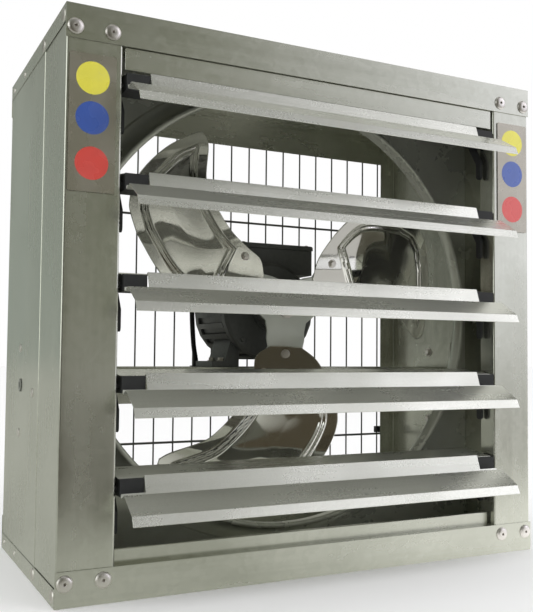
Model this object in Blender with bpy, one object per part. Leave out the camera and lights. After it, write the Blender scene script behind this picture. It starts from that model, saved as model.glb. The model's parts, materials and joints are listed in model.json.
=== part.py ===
# Wall exhaust fan: a square sheet-metal housing with a five-blade shutter in front, a bell-mouth panel
# with a three-blade propeller on its motor inside, and a wire guard at the rear.
# Units are metres. +Z is up and the shutter faces -Y. The origin is the middle of the housing's underside.

import math

import bmesh
import bpy
from mathutils import Matrix, Vector

# Whole housing
HOUSING_WIDTH = 0.740
HOUSING_HEIGHT = 0.740
HOUSING_DEPTH = 0.403
SHEET = 0.0012  # wall of every housing sheet
GAP = 0.0003  # between pieces that touch
OVERRUN = 0.004  # how far a cutter runs past what it cuts

# Side panels, each with the front column folded from it
COLUMN_WIDTH = 0.072
COLUMN_RETURN = 0.033
SIDE_REAR_FLANGE = 0.034
JOG_FROM_FRONT = 0.133
JOG_RUN = 0.004
JOG_STEP = 0.0010

# Top and bottom panels, each with the front rail folded from it
RAIL_HEIGHT = 0.0435
RAIL_LIP = 0.0147
END_REAR_FLANGE = 0.050
LAP_HEIGHT = 0.023
CORNER_SLIT = 0.0010  # between two folded edges of one panel

# Strips that close the shutter at its top and bottom
TOP_STRIP_DROP = 0.0290  # below the top rail
TOP_STRIP_FOOT = 0.0105
TOP_STRIP_FROM_FRONT = 0.0030
BOTTOM_STRIP_HEIGHT = 0.0605
BOTTOM_STRIP_FOOT = 0.024
BOTTOM_STRIP_LIP = 0.006
STRIP_END_GAP = 0.004

# Shutter
SHUTTER_BLADES = 5
LOWEST_PIVOT_HEIGHT = 0.1373
HIGHEST_PIVOT_DROP = 0.0907  # below the housing's top
PIVOT_FROM_FRONT = 0.014
BLADE_SHEET = 0.0010
BLADE_END_GAP = 0.0045  # blade end to the column's return flange
BLADE_DEPTH = 0.130
BLADE_RISE = 0.056
# Fold lines of a blade from its lip to its rear edge: behind and above the pivot
BLADE_FOLD_SHARES = (
    (-0.599, -0.654),
    (-0.554, -0.446),
    (-0.283, -0.096),
    (-0.186, -0.182),
    (-0.115, 0.268),
    (-0.077, 0.214),
    (0.400, 0.348),
)
REAR_FOLD = 5  # the fold where the rear leaf starts, counted from the lip
NOTCH_LENGTH = 0.0315
NOTCH_FROM = 0.0230
NOTCH_TO = 0.0088
NOTCH_BELOW = 0.0094

# Blade brackets with their pivot pins and levers
BRACKET_LENGTH = 0.031
BRACKET_AHEAD = 0.017
BRACKET_BEHIND = 0.020
BRACKET_BELOW = 0.009
BRACKET_ABOVE = 0.0125
BRACKET_INSET = 0.0004  # the block's end behind the lever's outer face
PIVOT_PIN_RADIUS = 0.0035
PIVOT_PIN_REACH = 0.0018  # past the return flange
LEVER_THICKNESS = 0.005
LEVER_WIDTH = 0.011
LEVER_DROP = 0.054
# Middle line of the lever: behind and above the pivot, as shares of its drop
LEVER_PATH_SHARES = ((0.26, 0.08), (0.60, -0.08), (0.26, -0.60), (0.26, -1.00))
LINK_PIN_RADIUS = 0.0025
LINK_PIN_LENGTH = 0.0034
LINK_ROD_CLEARANCE = 0.0006
LINK_ROD_THICKNESS = 0.0020
LINK_ROD_WIDTH = 0.010
LINK_ROD_END = 0.008
LINK_HOLE_CLEARANCE = 0.0007

# Bell-mouth panel
VENTURI_FROM_FRONT = 0.166
VENTURI_FLANGE = 0.015
FAN_AXIS_RISE = 0.007  # above the housing's middle
BELL_MARGIN = 0.003  # from the bell's edge to the nearest side of the housing
BELL_EDGE = 0.005
BELL_STEP = 0.003
BELL_RUN = 0.031  # from the step inwards to the throat
THROAT_REACH = 0.044  # from the panel forward to the throat's rim
RIM_BEAD = 0.003

# Propeller
TIP_CLEARANCE = 0.022  # to the throat
PROPELLER_FROM_FRONT = 0.1316
BLADE_COUNT = 3
FIRST_BLADE_ANGLE = math.radians(27.8)
BLADE_PLATE = 0.0015
ROOT_LEAN_SHARE = 0.31  # rearward for each step clockwise
TIP_LEAN_SHARE = 0.40
BLADE_CAMBER = 0.010
ARM_PLATE = 0.004
ARM_LENGTH = 0.112
ARM_ROOT_WIDTH = 0.069
ARM_NECK_WIDTH = 0.052
ARM_PAD_WIDTH = 0.086
ARM_NECK_REACH = 0.059
ARM_SHOULDER_SHARE = 0.46
# Blade outline as shares of the tip radius: outwards along its arm, and anticlockwise seen from the front
TRAILING_EDGE_SHARES = (
    (0.192, -0.076),
    (0.245, -0.142),
    (0.321, -0.152),
    (0.434, -0.172),
    (0.536, -0.225),
    (0.632, -0.298),
    (0.685, -0.364),
    (0.742, -0.507),
    (0.775, -0.563),
)
LEADING_EDGE_SHARES = (
    (0.192, 0.076),
    (0.250, 0.152),
    (0.331, 0.205),
    (0.430, 0.250),
    (0.520, 0.272),
    (0.603, 0.268),
    (0.709, 0.228),
    (0.851, 0.146),
)
TIP_EDGE_SHARES = (
    (0.775, -0.563),
    (0.826, -0.563),
    (0.878, -0.478),
    (0.927, -0.374),
    (0.962, -0.248),
    (0.978, -0.139),
    (0.978, -0.060),
    (0.957, 0.015),
    (0.930, 0.066),
    (0.851, 0.146),
)
ROOT_EDGE_SHARES = ((0.192, -0.076), (0.188, 0.0), (0.192, 0.076))
BLADE_COLUMNS = 10
BLADE_ROWS = 14
EDGE_SPANS = 4  # between two places of an edge
CAMBER_START_SHARE = 0.38
CAMBER_FULL_SHARE = 0.70

# Hub
HUB_RADIUS = 0.030
HUB_LENGTH = 0.042
HUB_FLANGE_RADIUS = 0.034
HUB_FLANGE = 0.006
HUB_BOLT_RADIUS = 0.005
HUB_BOLT_HEAD_RADIUS = 0.009
HUB_BOLT_HEAD = 0.0065
HUB_WASHER_RADIUS = 0.014
HUB_WASHER = 0.002
HUB_BOLT_REACH = 0.022

# Motor
MOTOR_FROM_FRONT = 0.195
SHAFT_HEIGHT = 0.090  # the crossbar's top to the fan axis
SHIELD_LENGTH = 0.018
FRAME_LENGTH = 0.104
FRAME_RADIUS = 0.073
FRAME_WALL = 0.007
FIN_HEIGHT = 0.005
FIN_COUNT = 26
FIN_FILL_SHARE = 0.45
SHIELD_RADIUS = 0.078
SHIELD_SNOUT = 0.006
SHIELD_SNOUT_RADIUS = 0.032
SHIELD_WALL = 0.006
SHIELD_CHAMFER = 0.0045
SHAFT_RADIUS = 0.012
SHAFT_CLEARANCE = 0.0005
SHAFT_GAP = 0.003  # shaft end to the hub's plate
SHAFT_TAIL = 0.003
BEARING_RADIUS = 0.0235
BEARING_WIDTH = 0.014
CORE_LENGTH = 0.060
ROTOR_RADIUS = 0.0385
AIR_GAP = 0.0008
WINDING_LENGTH = 0.013
WINDING_WALL = 0.016
FOOT_HALF_WIDTH = 0.090
FOOT_INNER = 0.044
FOOT_THICKNESS = 0.009
FOOT_LENGTH = 0.072
FOOT_FROM_FRONT = 0.217
FOOT_WEB_INSET = 0.016

# Terminal box
BOX_CENTRE = 0.020
BOX_WIDTH = 0.128
BOX_LENGTH = 0.092
BOX_FROM_FRONT = 0.213
BOX_BASE_HEIGHT = 0.062  # above the fan axis
BOX_TOP_HEIGHT = 0.103
BOX_WALL = 0.003
BOX_FLOOR = 0.004
LID_THICKNESS = 0.008
LID_OVERHANG = 0.0015
BOX_EDGE = 0.003

# Cable and what it passes through
CABLE_RADIUS = 0.004
GLAND_RADIUS = 0.010
GLAND_LENGTH = 0.016
GLAND_NUT_RADIUS = 0.0115
GLAND_NUT = 0.006
GLAND_CHAMFER = 0.002
GLAND_BELOW_TOP = 0.017
CABLE_FROM_FRONT = 0.301
CABLE_SWING = 0.093  # how far beside the fan axis the cable swings
CABLE_HOLE_OFFSET = 0.086
CABLE_RUN_FROM_FRONT = 0.268
CABLE_RUN_BELOW_TOP = 0.027
GROMMET_WALL = 0.003
GROMMET_RIM = 0.0025
GROMMET_RIM_THICKNESS = 0.0012

# Crossbar that carries the motor
CROSSBAR_FROM_FRONT = 0.214
CROSSBAR_DEPTH = 0.102
CROSSBAR_HEIGHT = 0.055
CROSSBAR_SHEET = 0.003
MOUNT_PLATE_HEIGHT = 0.156
MOUNT_PLATE_SHEET = 0.003
MOUNT_PLATE_MARGIN = 0.006  # past the crossbar at its front and rear
MOUNT_PLATE_BELOW_TOP = 0.034  # the plate's middle below the crossbar's top

# Wire guard and its clips
GUARD_WIRES = 20
GUARD_SIDE_GAP = 0.0135  # from the outer wire at each side to the next
GUARD_WIRE_RADIUS = 0.0014
GUARD_CROSS_RADIUS = 0.0020
GUARD_WELD = 0.0008  # how far crossing wires sink into each other
GUARD_EDGE = 0.010  # the outer wires past the opening's edge
GUARD_CROSS_SHARES = (0.2074, 0.7441)  # of the housing's height
CLIP_HEIGHT = 0.012
CLIP_ABOVE_WIRE = 0.0085
CLIP_WALL = 0.0025
CLIP_FREE = 0.0004

# Corner rivets
RIVET_INNER = 0.059  # from the housing's side to the inner rivet
RIVET_OUTER = 0.0125
RIVET_FROM_END = 0.029
RIVET_HEAD_RADIUS = 0.010
RIVET_HEAD = 0.0034
RIVET_SHANK_RADIUS = 0.0024
RIVET_COLLAR_RADIUS = 0.0044
RIVET_COLLAR = 0.0025
RIVET_HOLE_RADIUS = 0.0014
RIVET_HOLE_DEPTH = 0.0030
RIVET_CLEARANCE = 0.0003
RIVET_CROWN_SHARES = ((1.0, 0.18), (0.88, 0.52), (0.66, 0.83), (0.38, 1.0))

# Facets
RING_STEPS = 48
BELL_STEPS = 5
ROUND_STEPS = 24
PIN_STEPS = 12
WIRE_STEPS = 6
END_STEPS = 5
CABLE_POINTS_PER_SPAN = 3
CABLE_SIDES = 2  # a bevel resolution

# Worked out from the values above
FRONT = -HOUSING_DEPTH / 2
BACK = HOUSING_DEPTH / 2
HALF_WIDTH = HOUSING_WIDTH / 2
LAYER = SHEET + GAP  # one sheet and the gap to the next
OPENING_HALF = HALF_WIDTH - COLUMN_WIDTH
SIDE_OUTER = HALF_WIDTH - LAYER
SIDE_INNER = SIDE_OUTER - SHEET
BLADE_HALF = OPENING_HALF - BLADE_END_GAP
LINK_PIN_BACK = LEVER_PATH_SHARES[-1][0] * LEVER_DROP
LINK_PIN_RISE = LEVER_PATH_SHARES[-1][1] * LEVER_DROP
FAN_AXIS_HEIGHT = HOUSING_HEIGHT / 2 + FAN_AXIS_RISE
BELL_OUTER_RADIUS = min(HALF_WIDTH, HOUSING_HEIGHT / 2 - FAN_AXIS_RISE) - BELL_MARGIN
BELL_STEP_RADIUS = BELL_OUTER_RADIUS - BELL_EDGE
THROAT_RADIUS = BELL_STEP_RADIUS - BELL_RUN
TIP_RADIUS = THROAT_RADIUS - TIP_CLEARANCE
CROSSBAR_TOP = FAN_AXIS_HEIGHT - SHAFT_HEIGHT
MOTOR_FRONT = FRONT + MOTOR_FROM_FRONT
MOTOR_REAR = MOTOR_FRONT + 2 * SHIELD_LENGTH + FRAME_LENGTH
FIN_TIP = FRAME_RADIUS + FIN_HEIGHT
BLADE_PITCH = (HOUSING_HEIGHT - LOWEST_PIVOT_HEIGHT - HIGHEST_PIVOT_DROP) / (SHUTTER_BLADES - 1)
PAD_SLANT = math.hypot(1, ROOT_LEAN_SHARE)
ARM_FRONT = (BLADE_PLATE + GAP) * PAD_SLANT
ARM_REAR = ARM_FRONT + ARM_PLATE
GUARD_CROSS_Y = BACK + GAP + GUARD_CROSS_RADIUS
GUARD_WIRE_Y = GUARD_CROSS_Y + GUARD_CROSS_RADIUS + GUARD_WIRE_RADIUS - GUARD_WELD
GUARD_EDGE_X = HALF_WIDTH - SIDE_REAR_FLANGE + GUARD_EDGE
GUARD_LAST_X = GUARD_EDGE_X - GUARD_SIDE_GAP
GUARD_PITCH = 2 * GUARD_LAST_X / (GUARD_WIRES - 1)
GUARD_CROSS_PLACES = tuple(share * HOUSING_HEIGHT for share in GUARD_CROSS_SHARES)


# General helpers


def material(name, colour, roughness, metallic):
    made = bpy.data.materials.new(name)
    made.use_nodes = True
    shader = made.node_tree.nodes["Principled BSDF"]
    shader.inputs["Base Color"].default_value = (*colour, 1.0)
    shader.inputs["Roughness"].default_value = roughness
    shader.inputs["Metallic"].default_value = metallic
    return made


def empty(name, location, parent=None):
    made = bpy.data.objects.new(name, None)
    bpy.context.collection.objects.link(made)
    made.location = location
    made.parent = parent
    return made


def finish(name, bm, mat, location=(0, 0, 0), parent=None, sharp=35, closed=True):
    """Makes the bmesh an object, with its faces pointing out and smooth but for its sharp edges."""
    if closed:
        bmesh.ops.recalc_face_normals(bm, faces=bm.faces)
    mesh = bpy.data.meshes.new(name)
    bm.to_mesh(mesh)
    bm.free()
    mesh.materials.append(mat)
    mesh.shade_smooth()
    mesh.set_sharp_from_angle(angle=math.radians(sharp))
    made = bpy.data.objects.new(name, mesh)
    bpy.context.collection.objects.link(made)
    made.location = location
    made.parent = parent
    return made


def copy_of(source, name, location, parent=None):
    made = source.copy()
    made.name = name
    bpy.context.collection.objects.link(made)
    made.location = location
    made.parent = parent
    return made


def box(bm, low, high):
    """A block between two corners."""
    low, high = Vector(low), Vector(high)
    place = Matrix.Translation((low + high) / 2) @ Matrix.Diagonal((*(high - low), 1))
    bmesh.ops.create_cube(bm, size=1, matrix=place)


def prism(bm, outline, axis, start, end):
    """A closed outline extruded along an axis. Its points name the two other axes in X, Y, Z order."""
    corners = []
    for first, second in outline:
        point = [first, second]
        point.insert(axis, start)
        corners.append(bm.verts.new(point))
    face = bm.faces.new(corners)
    grown = bmesh.ops.extrude_face_region(bm, geom=[face])
    moved = [item for item in grown["geom"] if isinstance(item, bmesh.types.BMVert)]
    step = Vector((0, 0, 0))
    step[axis] = end - start
    bmesh.ops.translate(bm, verts=moved, vec=step)


def rod(bm, radius, start, end, steps):
    """A round bar between two points."""
    start, end = Vector(start), Vector(end)
    along = end - start
    turn = along.to_track_quat("Z", "Y").to_matrix().to_4x4()
    place = Matrix.Translation((start + end) / 2) @ turn
    bmesh.ops.create_cone(
        bm,
        cap_ends=True,
        segments=steps,
        radius1=radius,
        radius2=radius,
        depth=along.length,
        matrix=place,
    )


def turned(bm, profile, steps, axis=(0, 1, 0)):
    """A closed (radius, along) profile turned about an axis through the origin."""
    axis = Vector(axis)
    across = axis.orthogonal().normalized()
    ring = [bm.verts.new(across * radius + axis * along) for radius, along in profile]
    edges = [bm.edges.new(pair) for pair in zip(ring, ring[1:] + ring[:1])]
    bmesh.ops.spin(
        bm,
        geom=ring + edges,
        cent=(0, 0, 0),
        axis=axis,
        angle=math.tau,
        steps=steps,
        use_merge=True,
    )
    bmesh.ops.remove_doubles(bm, verts=bm.verts, dist=GAP / 10)
    flat = [edge for edge in bm.edges if not edge.link_faces]
    bmesh.ops.delete(bm, geom=flat, context="EDGES")


def folded_outline(path, thickness):
    """The closed outline of a sheet folded along a path, with its wall on the path's left."""
    points = [Vector(point) for point in path]
    normals = []
    for here, there in zip(points, points[1:]):
        way = (there - here).normalized()
        normals.append(Vector((-way.y, way.x)))
    normals = [normals[0], *normals, normals[-1]]
    inner = []
    for point, before, after in zip(points, normals, normals[1:]):
        inner.append(point + (before + after) * thickness / (1 + before.dot(after)))
    return points + inner[::-1]


def strap_outline(path, width, steps):
    """The closed outline of a flat bar along a path, square where it starts and round where it ends."""
    wide = folded_outline(path, width / 2)
    left = wide[len(path) :][::-1]
    right = folded_outline(path[::-1], width / 2)[len(path) :]
    end = Vector(path[-1])
    out = left[-1] - end
    turn = [Matrix.Rotation(-math.pi * step / steps, 2) for step in range(1, steps)]
    return left + [end + matrix @ out for matrix in turn] + right[::-1]


def helper_object(name, bm):
    """A cutter or a piece to be joined: never a node of its own."""
    bmesh.ops.recalc_face_normals(bm, faces=bm.faces)
    mesh = bpy.data.meshes.new(name)
    bm.to_mesh(mesh)
    bm.free()
    made = bpy.data.objects.new(name, mesh)
    bpy.context.collection.objects.link(made)
    made.hide_render = True
    made.display_type = "WIRE"
    return made


def boolean(target, other, operation):
    modifier = target.modifiers.new(other.name, "BOOLEAN")
    modifier.operation = operation
    modifier.object = other
    modifier.solver = "EXACT"


def wall(target, thickness, offset=-1):
    """Gives an open surface its wall, behind its faces."""
    modifier = target.modifiers.new("wall", "SOLIDIFY")
    modifier.thickness = thickness
    modifier.offset = offset
    modifier.use_even_offset = True


def smooth_path(points, spans):
    """Points on a smooth curve through the given ones, with so many spans between each two."""
    points = [Vector(point) for point in points]
    full = [2 * points[0] - points[1], *points, 2 * points[-1] - points[-2]]
    out = []
    for before, here, there, after in zip(full, full[1:], full[2:], full[3:]):
        for step in range(spans):
            t = step / spans
            curve = 2 * here + (there - before) * t
            curve += (2 * before - 5 * here + 4 * there - after) * t**2
            curve += (3 * here - before - 3 * there + after) * t**3
            out.append(curve / 2)
    return out + [points[-1]]


def along_path(points, share):
    """The point at a share of a path's length."""
    lengths = [(there - here).length for here, there in zip(points, points[1:])]
    left = share * sum(lengths)
    for here, there, length in zip(points, points[1:], lengths):
        if left <= length:
            return here.lerp(there, left / length)
        left -= length
    return points[-1]


# Housing


def end_panel(name, mat, height, turn):
    """The bottom panel, or turned over the top one, with its rail, rear flange and side laps."""
    bm = bmesh.new()
    box(bm, (-HALF_WIDTH, FRONT, 0), (HALF_WIDTH, BACK, SHEET))
    lip_half = OPENING_HALF - GAP
    for x in (SHEET - HALF_WIDTH, -lip_half, lip_half, HALF_WIDTH - SHEET):
        cut_across(bm, (x, 0, 0), (1, 0, 0))
    for y in (FRONT + SHEET, FRONT + SHEET + CORNER_SLIT, BACK - SHEET - CORNER_SLIT, BACK - SHEET):
        cut_across(bm, (0, y, 0), (0, 1, 0))
    inner = HALF_WIDTH - SHEET
    slit = SHEET + CORNER_SLIT
    raise_faces(bm, lambda at: at.y < FRONT + SHEET, RAIL_HEIGHT - 2 * SHEET)
    raise_faces(bm, lambda at: at.y < FRONT + SHEET, SHEET)
    raise_faces(bm, lambda at: at.y > BACK - SHEET, END_REAR_FLANGE - SHEET)
    raise_faces(bm, lambda at: abs(at.x) > inner and FRONT + slit < at.y < BACK - slit, LAP_HEIGHT - SHEET)
    lip = []
    for face in bm.faces:
        at = face.calc_center_median()
        if face.normal.y > 0.5 and at.z > RAIL_HEIGHT - SHEET and abs(at.x) < lip_half and at.y < 0:
            lip.append(face)
    grown = bmesh.ops.extrude_face_region(bm, geom=lip)
    moved = [item for item in grown["geom"] if isinstance(item, bmesh.types.BMVert)]
    bmesh.ops.translate(bm, verts=moved, vec=(0, RAIL_LIP - SHEET, 0))
    bmesh.ops.delete(bm, geom=lip, context="FACES_ONLY")
    panel = finish(name, bm, mat, location=(0, 0, height))
    panel.rotation_euler.y = turn
    boolean(panel, rivet_holes(name + "_rivet_holes", panel), "DIFFERENCE")
    return panel


def cut_across(bm, at, normal):
    everything = bm.verts[:] + bm.edges[:] + bm.faces[:]
    bmesh.ops.bisect_plane(bm, geom=everything, dist=GAP / 100, plane_co=at, plane_no=normal)


def raise_faces(bm, wanted, height):
    """Extrudes the upward faces whose middles are wanted."""
    bm.normal_update()
    top = [face for face in bm.faces if face.normal.z > 0.5 and wanted(face.calc_center_median())]
    highest = max(face.calc_center_median().z for face in top)
    top = [face for face in top if face.calc_center_median().z > highest - SHEET / 2]
    grown = bmesh.ops.extrude_face_region(bm, geom=top)
    moved = [item for item in grown["geom"] if isinstance(item, bmesh.types.BMVert)]
    bmesh.ops.translate(bm, verts=moved, vec=(0, 0, height))
    bmesh.ops.delete(bm, geom=top, context="FACES_ONLY")
    bm.normal_update()


def rivet_places():
    """Where the eight corner rivets sit: x and z."""
    places = []
    for z in (RIVET_FROM_END, HOUSING_HEIGHT - RIVET_FROM_END):
        for x in (RIVET_INNER, RIVET_OUTER):
            places += [(x - HALF_WIDTH, z), (HALF_WIDTH - x, z)]
    return sorted(places)


def rivet_holes(name, panel):
    bm = bmesh.new()
    radius = RIVET_SHANK_RADIUS + RIVET_CLEARANCE
    for x, z in rivet_places():
        rod(bm, radius, (x, FRONT - OVERRUN, z), (x, FRONT + LAYER + SHEET + OVERRUN, z), PIN_STEPS)
    return helper_object(name, bm)


def side_panel(name, side, mat):
    """One folded sheet: column return, column face, side wall with its jog, rear flange."""
    jogged = SIDE_OUTER - JOG_STEP
    front = FRONT + LAYER
    back = BACK - LAYER
    jog = FRONT + JOG_FROM_FRONT
    path = [
        (OPENING_HALF, front + COLUMN_RETURN),
        (OPENING_HALF, front),
        (jogged, front),
        (jogged, jog - JOG_RUN / 2),
        (SIDE_OUTER, jog + JOG_RUN / 2),
        (SIDE_OUTER, back),
        (HALF_WIDTH - SIDE_REAR_FLANGE, back),
    ]
    outline = [(side * point.x, point.y) for point in folded_outline(path, SHEET)]
    bm = bmesh.new()
    prism(bm, outline, 2, LAYER, HOUSING_HEIGHT - LAYER)
    panel = finish(name, bm, mat)
    boolean(panel, rivet_holes(name + "_rivet_holes", panel), "DIFFERENCE")
    holes = bmesh.new()
    radius = PIVOT_PIN_RADIUS + GAP
    for index in range(SHUTTER_BLADES):
        at = pivot_of(index)
        start = (side * (OPENING_HALF - OVERRUN), at.y, at.z)
        end = (side * (OPENING_HALF + SHEET + OVERRUN), at.y, at.z)
        rod(holes, radius, start, end, PIN_STEPS)
    boolean(panel, helper_object(name + "_pivot_holes", holes), "DIFFERENCE")
    return panel


def bottom_stop_strip(mat):
    """The folded strip behind the bottom rail that the lowest blade's lip comes down over."""
    web = FRONT + RAIL_LIP + GAP
    low = LAYER
    high = LAYER + BOTTOM_STRIP_HEIGHT
    path = [(web + BOTTOM_STRIP_FOOT, low), (web, low), (web, high), (web + BOTTOM_STRIP_LIP, high)]
    half = OPENING_HALF - STRIP_END_GAP
    bm = bmesh.new()
    prism(bm, folded_outline(path, -SHEET), 0, -half, half)
    return finish("bottom_stop_strip", bm, mat)


def top_stop_strip(mat):
    """The angle under the top rail's lip that the highest blade closes up behind."""
    web = FRONT + TOP_STRIP_FROM_FRONT
    high = HOUSING_HEIGHT - RAIL_HEIGHT - GAP
    path = [(web, high - TOP_STRIP_DROP), (web, high), (web + TOP_STRIP_FOOT, high)]
    half = OPENING_HALF - STRIP_END_GAP
    bm = bmesh.new()
    prism(bm, folded_outline(path, -SHEET), 0, -half, half)
    return finish("top_stop_strip", bm, mat)


def corner_rivets(mat):
    """Eight domed rivets: head, shank, inner collar, and the small hole in the crown."""
    seat = -GAP
    collar = LAYER + SHEET + GAP
    profile = [(0, RIVET_HOLE_DEPTH - RIVET_HEAD), (RIVET_HOLE_RADIUS, RIVET_HOLE_DEPTH - RIVET_HEAD)]
    profile.append((RIVET_HOLE_RADIUS, seat - RIVET_HEAD))
    for out, up in reversed(RIVET_CROWN_SHARES):
        profile.append((RIVET_HEAD_RADIUS * out, seat - RIVET_HEAD * up))
    profile += [
        (RIVET_HEAD_RADIUS, seat),
        (RIVET_SHANK_RADIUS, seat),
        (RIVET_SHANK_RADIUS, collar),
        (RIVET_COLLAR_RADIUS, collar),
        (RIVET_COLLAR_RADIUS, collar + RIVET_COLLAR),
        (0, collar + RIVET_COLLAR),
    ]
    bm = bmesh.new()
    turned(bm, profile, ROUND_STEPS // 2)
    places = rivet_places()
    first = finish("corner_rivet_1", bm, mat, location=(places[0][0], FRONT, places[0][1]))
    for index, (x, z) in enumerate(places[1:], 2):
        copy_of(first, f"corner_rivet_{index}", (x, FRONT, z))


# Shutter


def pivot_of(index):
    """Where blade number index, from 0 at the bottom, turns: the middle of its axis."""
    return Vector((0, FRONT + PIVOT_FROM_FRONT, LOWEST_PIVOT_HEIGHT + index * BLADE_PITCH))


def blade_folds():
    return [(along * BLADE_DEPTH, up * BLADE_RISE) for along, up in BLADE_FOLD_SHARES]


def leaf_height(back):
    """Height of the rear leaf's underside so far behind the pivot."""
    start = Vector(blade_folds()[REAR_FOLD])
    end = Vector(blade_folds()[-1])
    return start.y + (end.y - start.y) * (back - start.x) / (end.x - start.x)


def shutter_blades(mat, pivots):
    bm = bmesh.new()
    prism(bm, folded_outline(blade_folds(), BLADE_SHEET), 0, -BLADE_HALF, BLADE_HALF)
    first = finish("shutter_blade_1", bm, mat, parent=pivots[0])
    notches = bmesh.new()
    for side in (-1, 1):
        ends = sorted((side * (BLADE_HALF - NOTCH_LENGTH), side * (BLADE_HALF + OVERRUN)))
        low = (ends[0], -NOTCH_FROM, -NOTCH_BELOW)
        box(notches, low, (ends[1], -NOTCH_TO, BRACKET_ABOVE + OVERRUN))
    cutter = helper_object("blade_notches", notches)
    cutter.parent = pivots[0]
    boolean(first, cutter, "DIFFERENCE")
    # Each copy keeps the same cut, so its cutter has to stand at its own pivot.
    for index, pivot in enumerate(pivots[1:], 2):
        blade = copy_of(first, f"shutter_blade_{index}", (0, 0, 0), pivot)
        own = cutter.copy()
        own.name = f"blade_notches_{index}"
        bpy.context.collection.objects.link(own)
        own.parent = pivot
        blade.modifiers[0].object = own


def bracket(name, side, mat, pivot, linked):
    """The plastic block at a blade's end, with its pivot pin, its lever and, where linked, the rod's pin."""
    end = BLADE_HALF - BRACKET_INSET
    low = (-BRACKET_AHEAD, -BRACKET_BELOW)
    rear = (BRACKET_BEHIND, leaf_height(BRACKET_BEHIND) - GAP)
    outline = [
        low,
        (BRACKET_BEHIND, -BRACKET_BELOW),
        rear,
        (-NOTCH_TO - GAP, leaf_height(-NOTCH_TO) - GAP),
        (-NOTCH_TO - GAP, BRACKET_ABOVE),
        (-BRACKET_AHEAD, BRACKET_ABOVE),
    ]
    bm = bmesh.new()
    prism(bm, outline, 0, side * (BLADE_HALF - BRACKET_LENGTH), side * end)
    made = finish(name, bm, mat, parent=pivot)
    path = [(back * LEVER_DROP, up * LEVER_DROP) for back, up in LEVER_PATH_SHARES]
    lever = bmesh.new()
    inner = side * (BLADE_HALF - LEVER_THICKNESS)
    prism(lever, strap_outline(path, LEVER_WIDTH, END_STEPS), 0, inner, side * BLADE_HALF)
    pins = bmesh.new()
    reach = side * (OPENING_HALF + SHEET + PIVOT_PIN_REACH)
    root = side * (BLADE_HALF - LEVER_THICKNESS / 2)
    rod(pins, PIVOT_PIN_RADIUS, (root, 0, 0), (reach, 0, 0), PIN_STEPS)
    if linked:
        tip = side * (BLADE_HALF + LINK_PIN_LENGTH)
        start = (root, LINK_PIN_BACK, LINK_PIN_RISE)
        rod(pins, LINK_PIN_RADIUS, start, (tip, LINK_PIN_BACK, LINK_PIN_RISE), PIN_STEPS)
    for part, piece in (("lever", lever), ("pins", pins)):
        helper = helper_object(f"{name}_{part}", piece)
        helper.parent = pivot
        boolean(made, helper, "UNION")
    return made


def link_rod(mat, pin):
    """The flat rod that ties the left levers together."""
    reach = (SHUTTER_BLADES - 1) * BLADE_PITCH
    outer = -(BLADE_HALF + LINK_ROD_CLEARANCE)
    low = (outer - LINK_ROD_THICKNESS, -LINK_ROD_WIDTH / 2, -LINK_ROD_END)
    bm = bmesh.new()
    box(bm, low, (outer, LINK_ROD_WIDTH / 2, reach + LINK_ROD_END))
    made = finish("link_rod", bm, mat, parent=pin)
    holes = bmesh.new()
    radius = LINK_PIN_RADIUS + LINK_HOLE_CLEARANCE
    for index in range(SHUTTER_BLADES):
        z = index * BLADE_PITCH
        rod(holes, radius, (low[0] - OVERRUN, 0, z), (outer + OVERRUN, 0, z), PIN_STEPS)
    cutter = helper_object("link_rod_holes", holes)
    cutter.parent = pin
    boolean(made, cutter, "DIFFERENCE")
    return made


# Bell-mouth panel


def venturi_panel(mat):
    """One pressing: a flat panel with folded edges, and the ring that narrows forward to the throat."""
    panel_y = FRONT + VENTURI_FROM_FRONT
    outer_throat = THROAT_RADIUS + SHEET
    bell = BELL_STEP_RADIUS - outer_throat
    bell_start = -BELL_STEP
    profile = [(BELL_OUTER_RADIUS, 0)]
    for step in range(BELL_STEPS + 1):
        angle = math.pi / 2 * step / BELL_STEPS
        out = BELL_STEP_RADIUS - bell * math.sin(angle)
        profile.append((out, bell_start - bell * (1 - math.cos(angle))))
    rim = -THROAT_REACH + RIM_BEAD
    profile += [
        (outer_throat, rim),
        (outer_throat + RIM_BEAD, rim - RIM_BEAD),
        (outer_throat + 2 * RIM_BEAD, rim),
    ]
    bm = bmesh.new()
    chain = [bm.verts.new((0, panel_y + along, FAN_AXIS_HEIGHT + out)) for out, along in profile]
    edges = [bm.edges.new(pair) for pair in zip(chain, chain[1:])]
    centre = (0, panel_y, FAN_AXIS_HEIGHT)
    bmesh.ops.spin(
        bm,
        geom=chain + edges,
        cent=centre,
        axis=(0, 1, 0),
        angle=math.tau,
        steps=RING_STEPS,
        use_merge=True,
    )
    open_edges = [edge for edge in bm.edges if edge.is_boundary]
    hole = [edge for edge in open_edges if all(abs(v.co.y - panel_y) < GAP for v in edge.verts)]
    half = SIDE_INNER - GAP
    low = LAYER
    high = HOUSING_HEIGHT - LAYER
    corners = [(-half, low), (half, low), (half, high), (-half, high)]
    loop = [bm.verts.new((x, panel_y, z)) for x, z in corners]
    border = [bm.edges.new(pair) for pair in zip(loop, loop[1:] + loop[:1])]
    bmesh.ops.triangle_fill(bm, use_beauty=True, edges=hole + border, normal=(0, -1, 0))
    folded = bmesh.ops.extrude_edge_only(bm, edges=border)
    moved = [item for item in folded["geom"] if isinstance(item, bmesh.types.BMVert)]
    bmesh.ops.translate(bm, verts=moved, vec=(0, VENTURI_FLANGE, 0))
    bmesh.ops.recalc_face_normals(bm, faces=bm.faces)
    bm.normal_update()
    flat = [face for face in bm.faces if abs(face.normal.y) > 0.999]
    if sum(face.normal.y * face.calc_area() for face in flat) > 0:
        bmesh.ops.reverse_faces(bm, faces=bm.faces)
    made = finish("venturi_panel", bm, mat, closed=False)
    wall(made, SHEET)
    return made


# Propeller and hub


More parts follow.
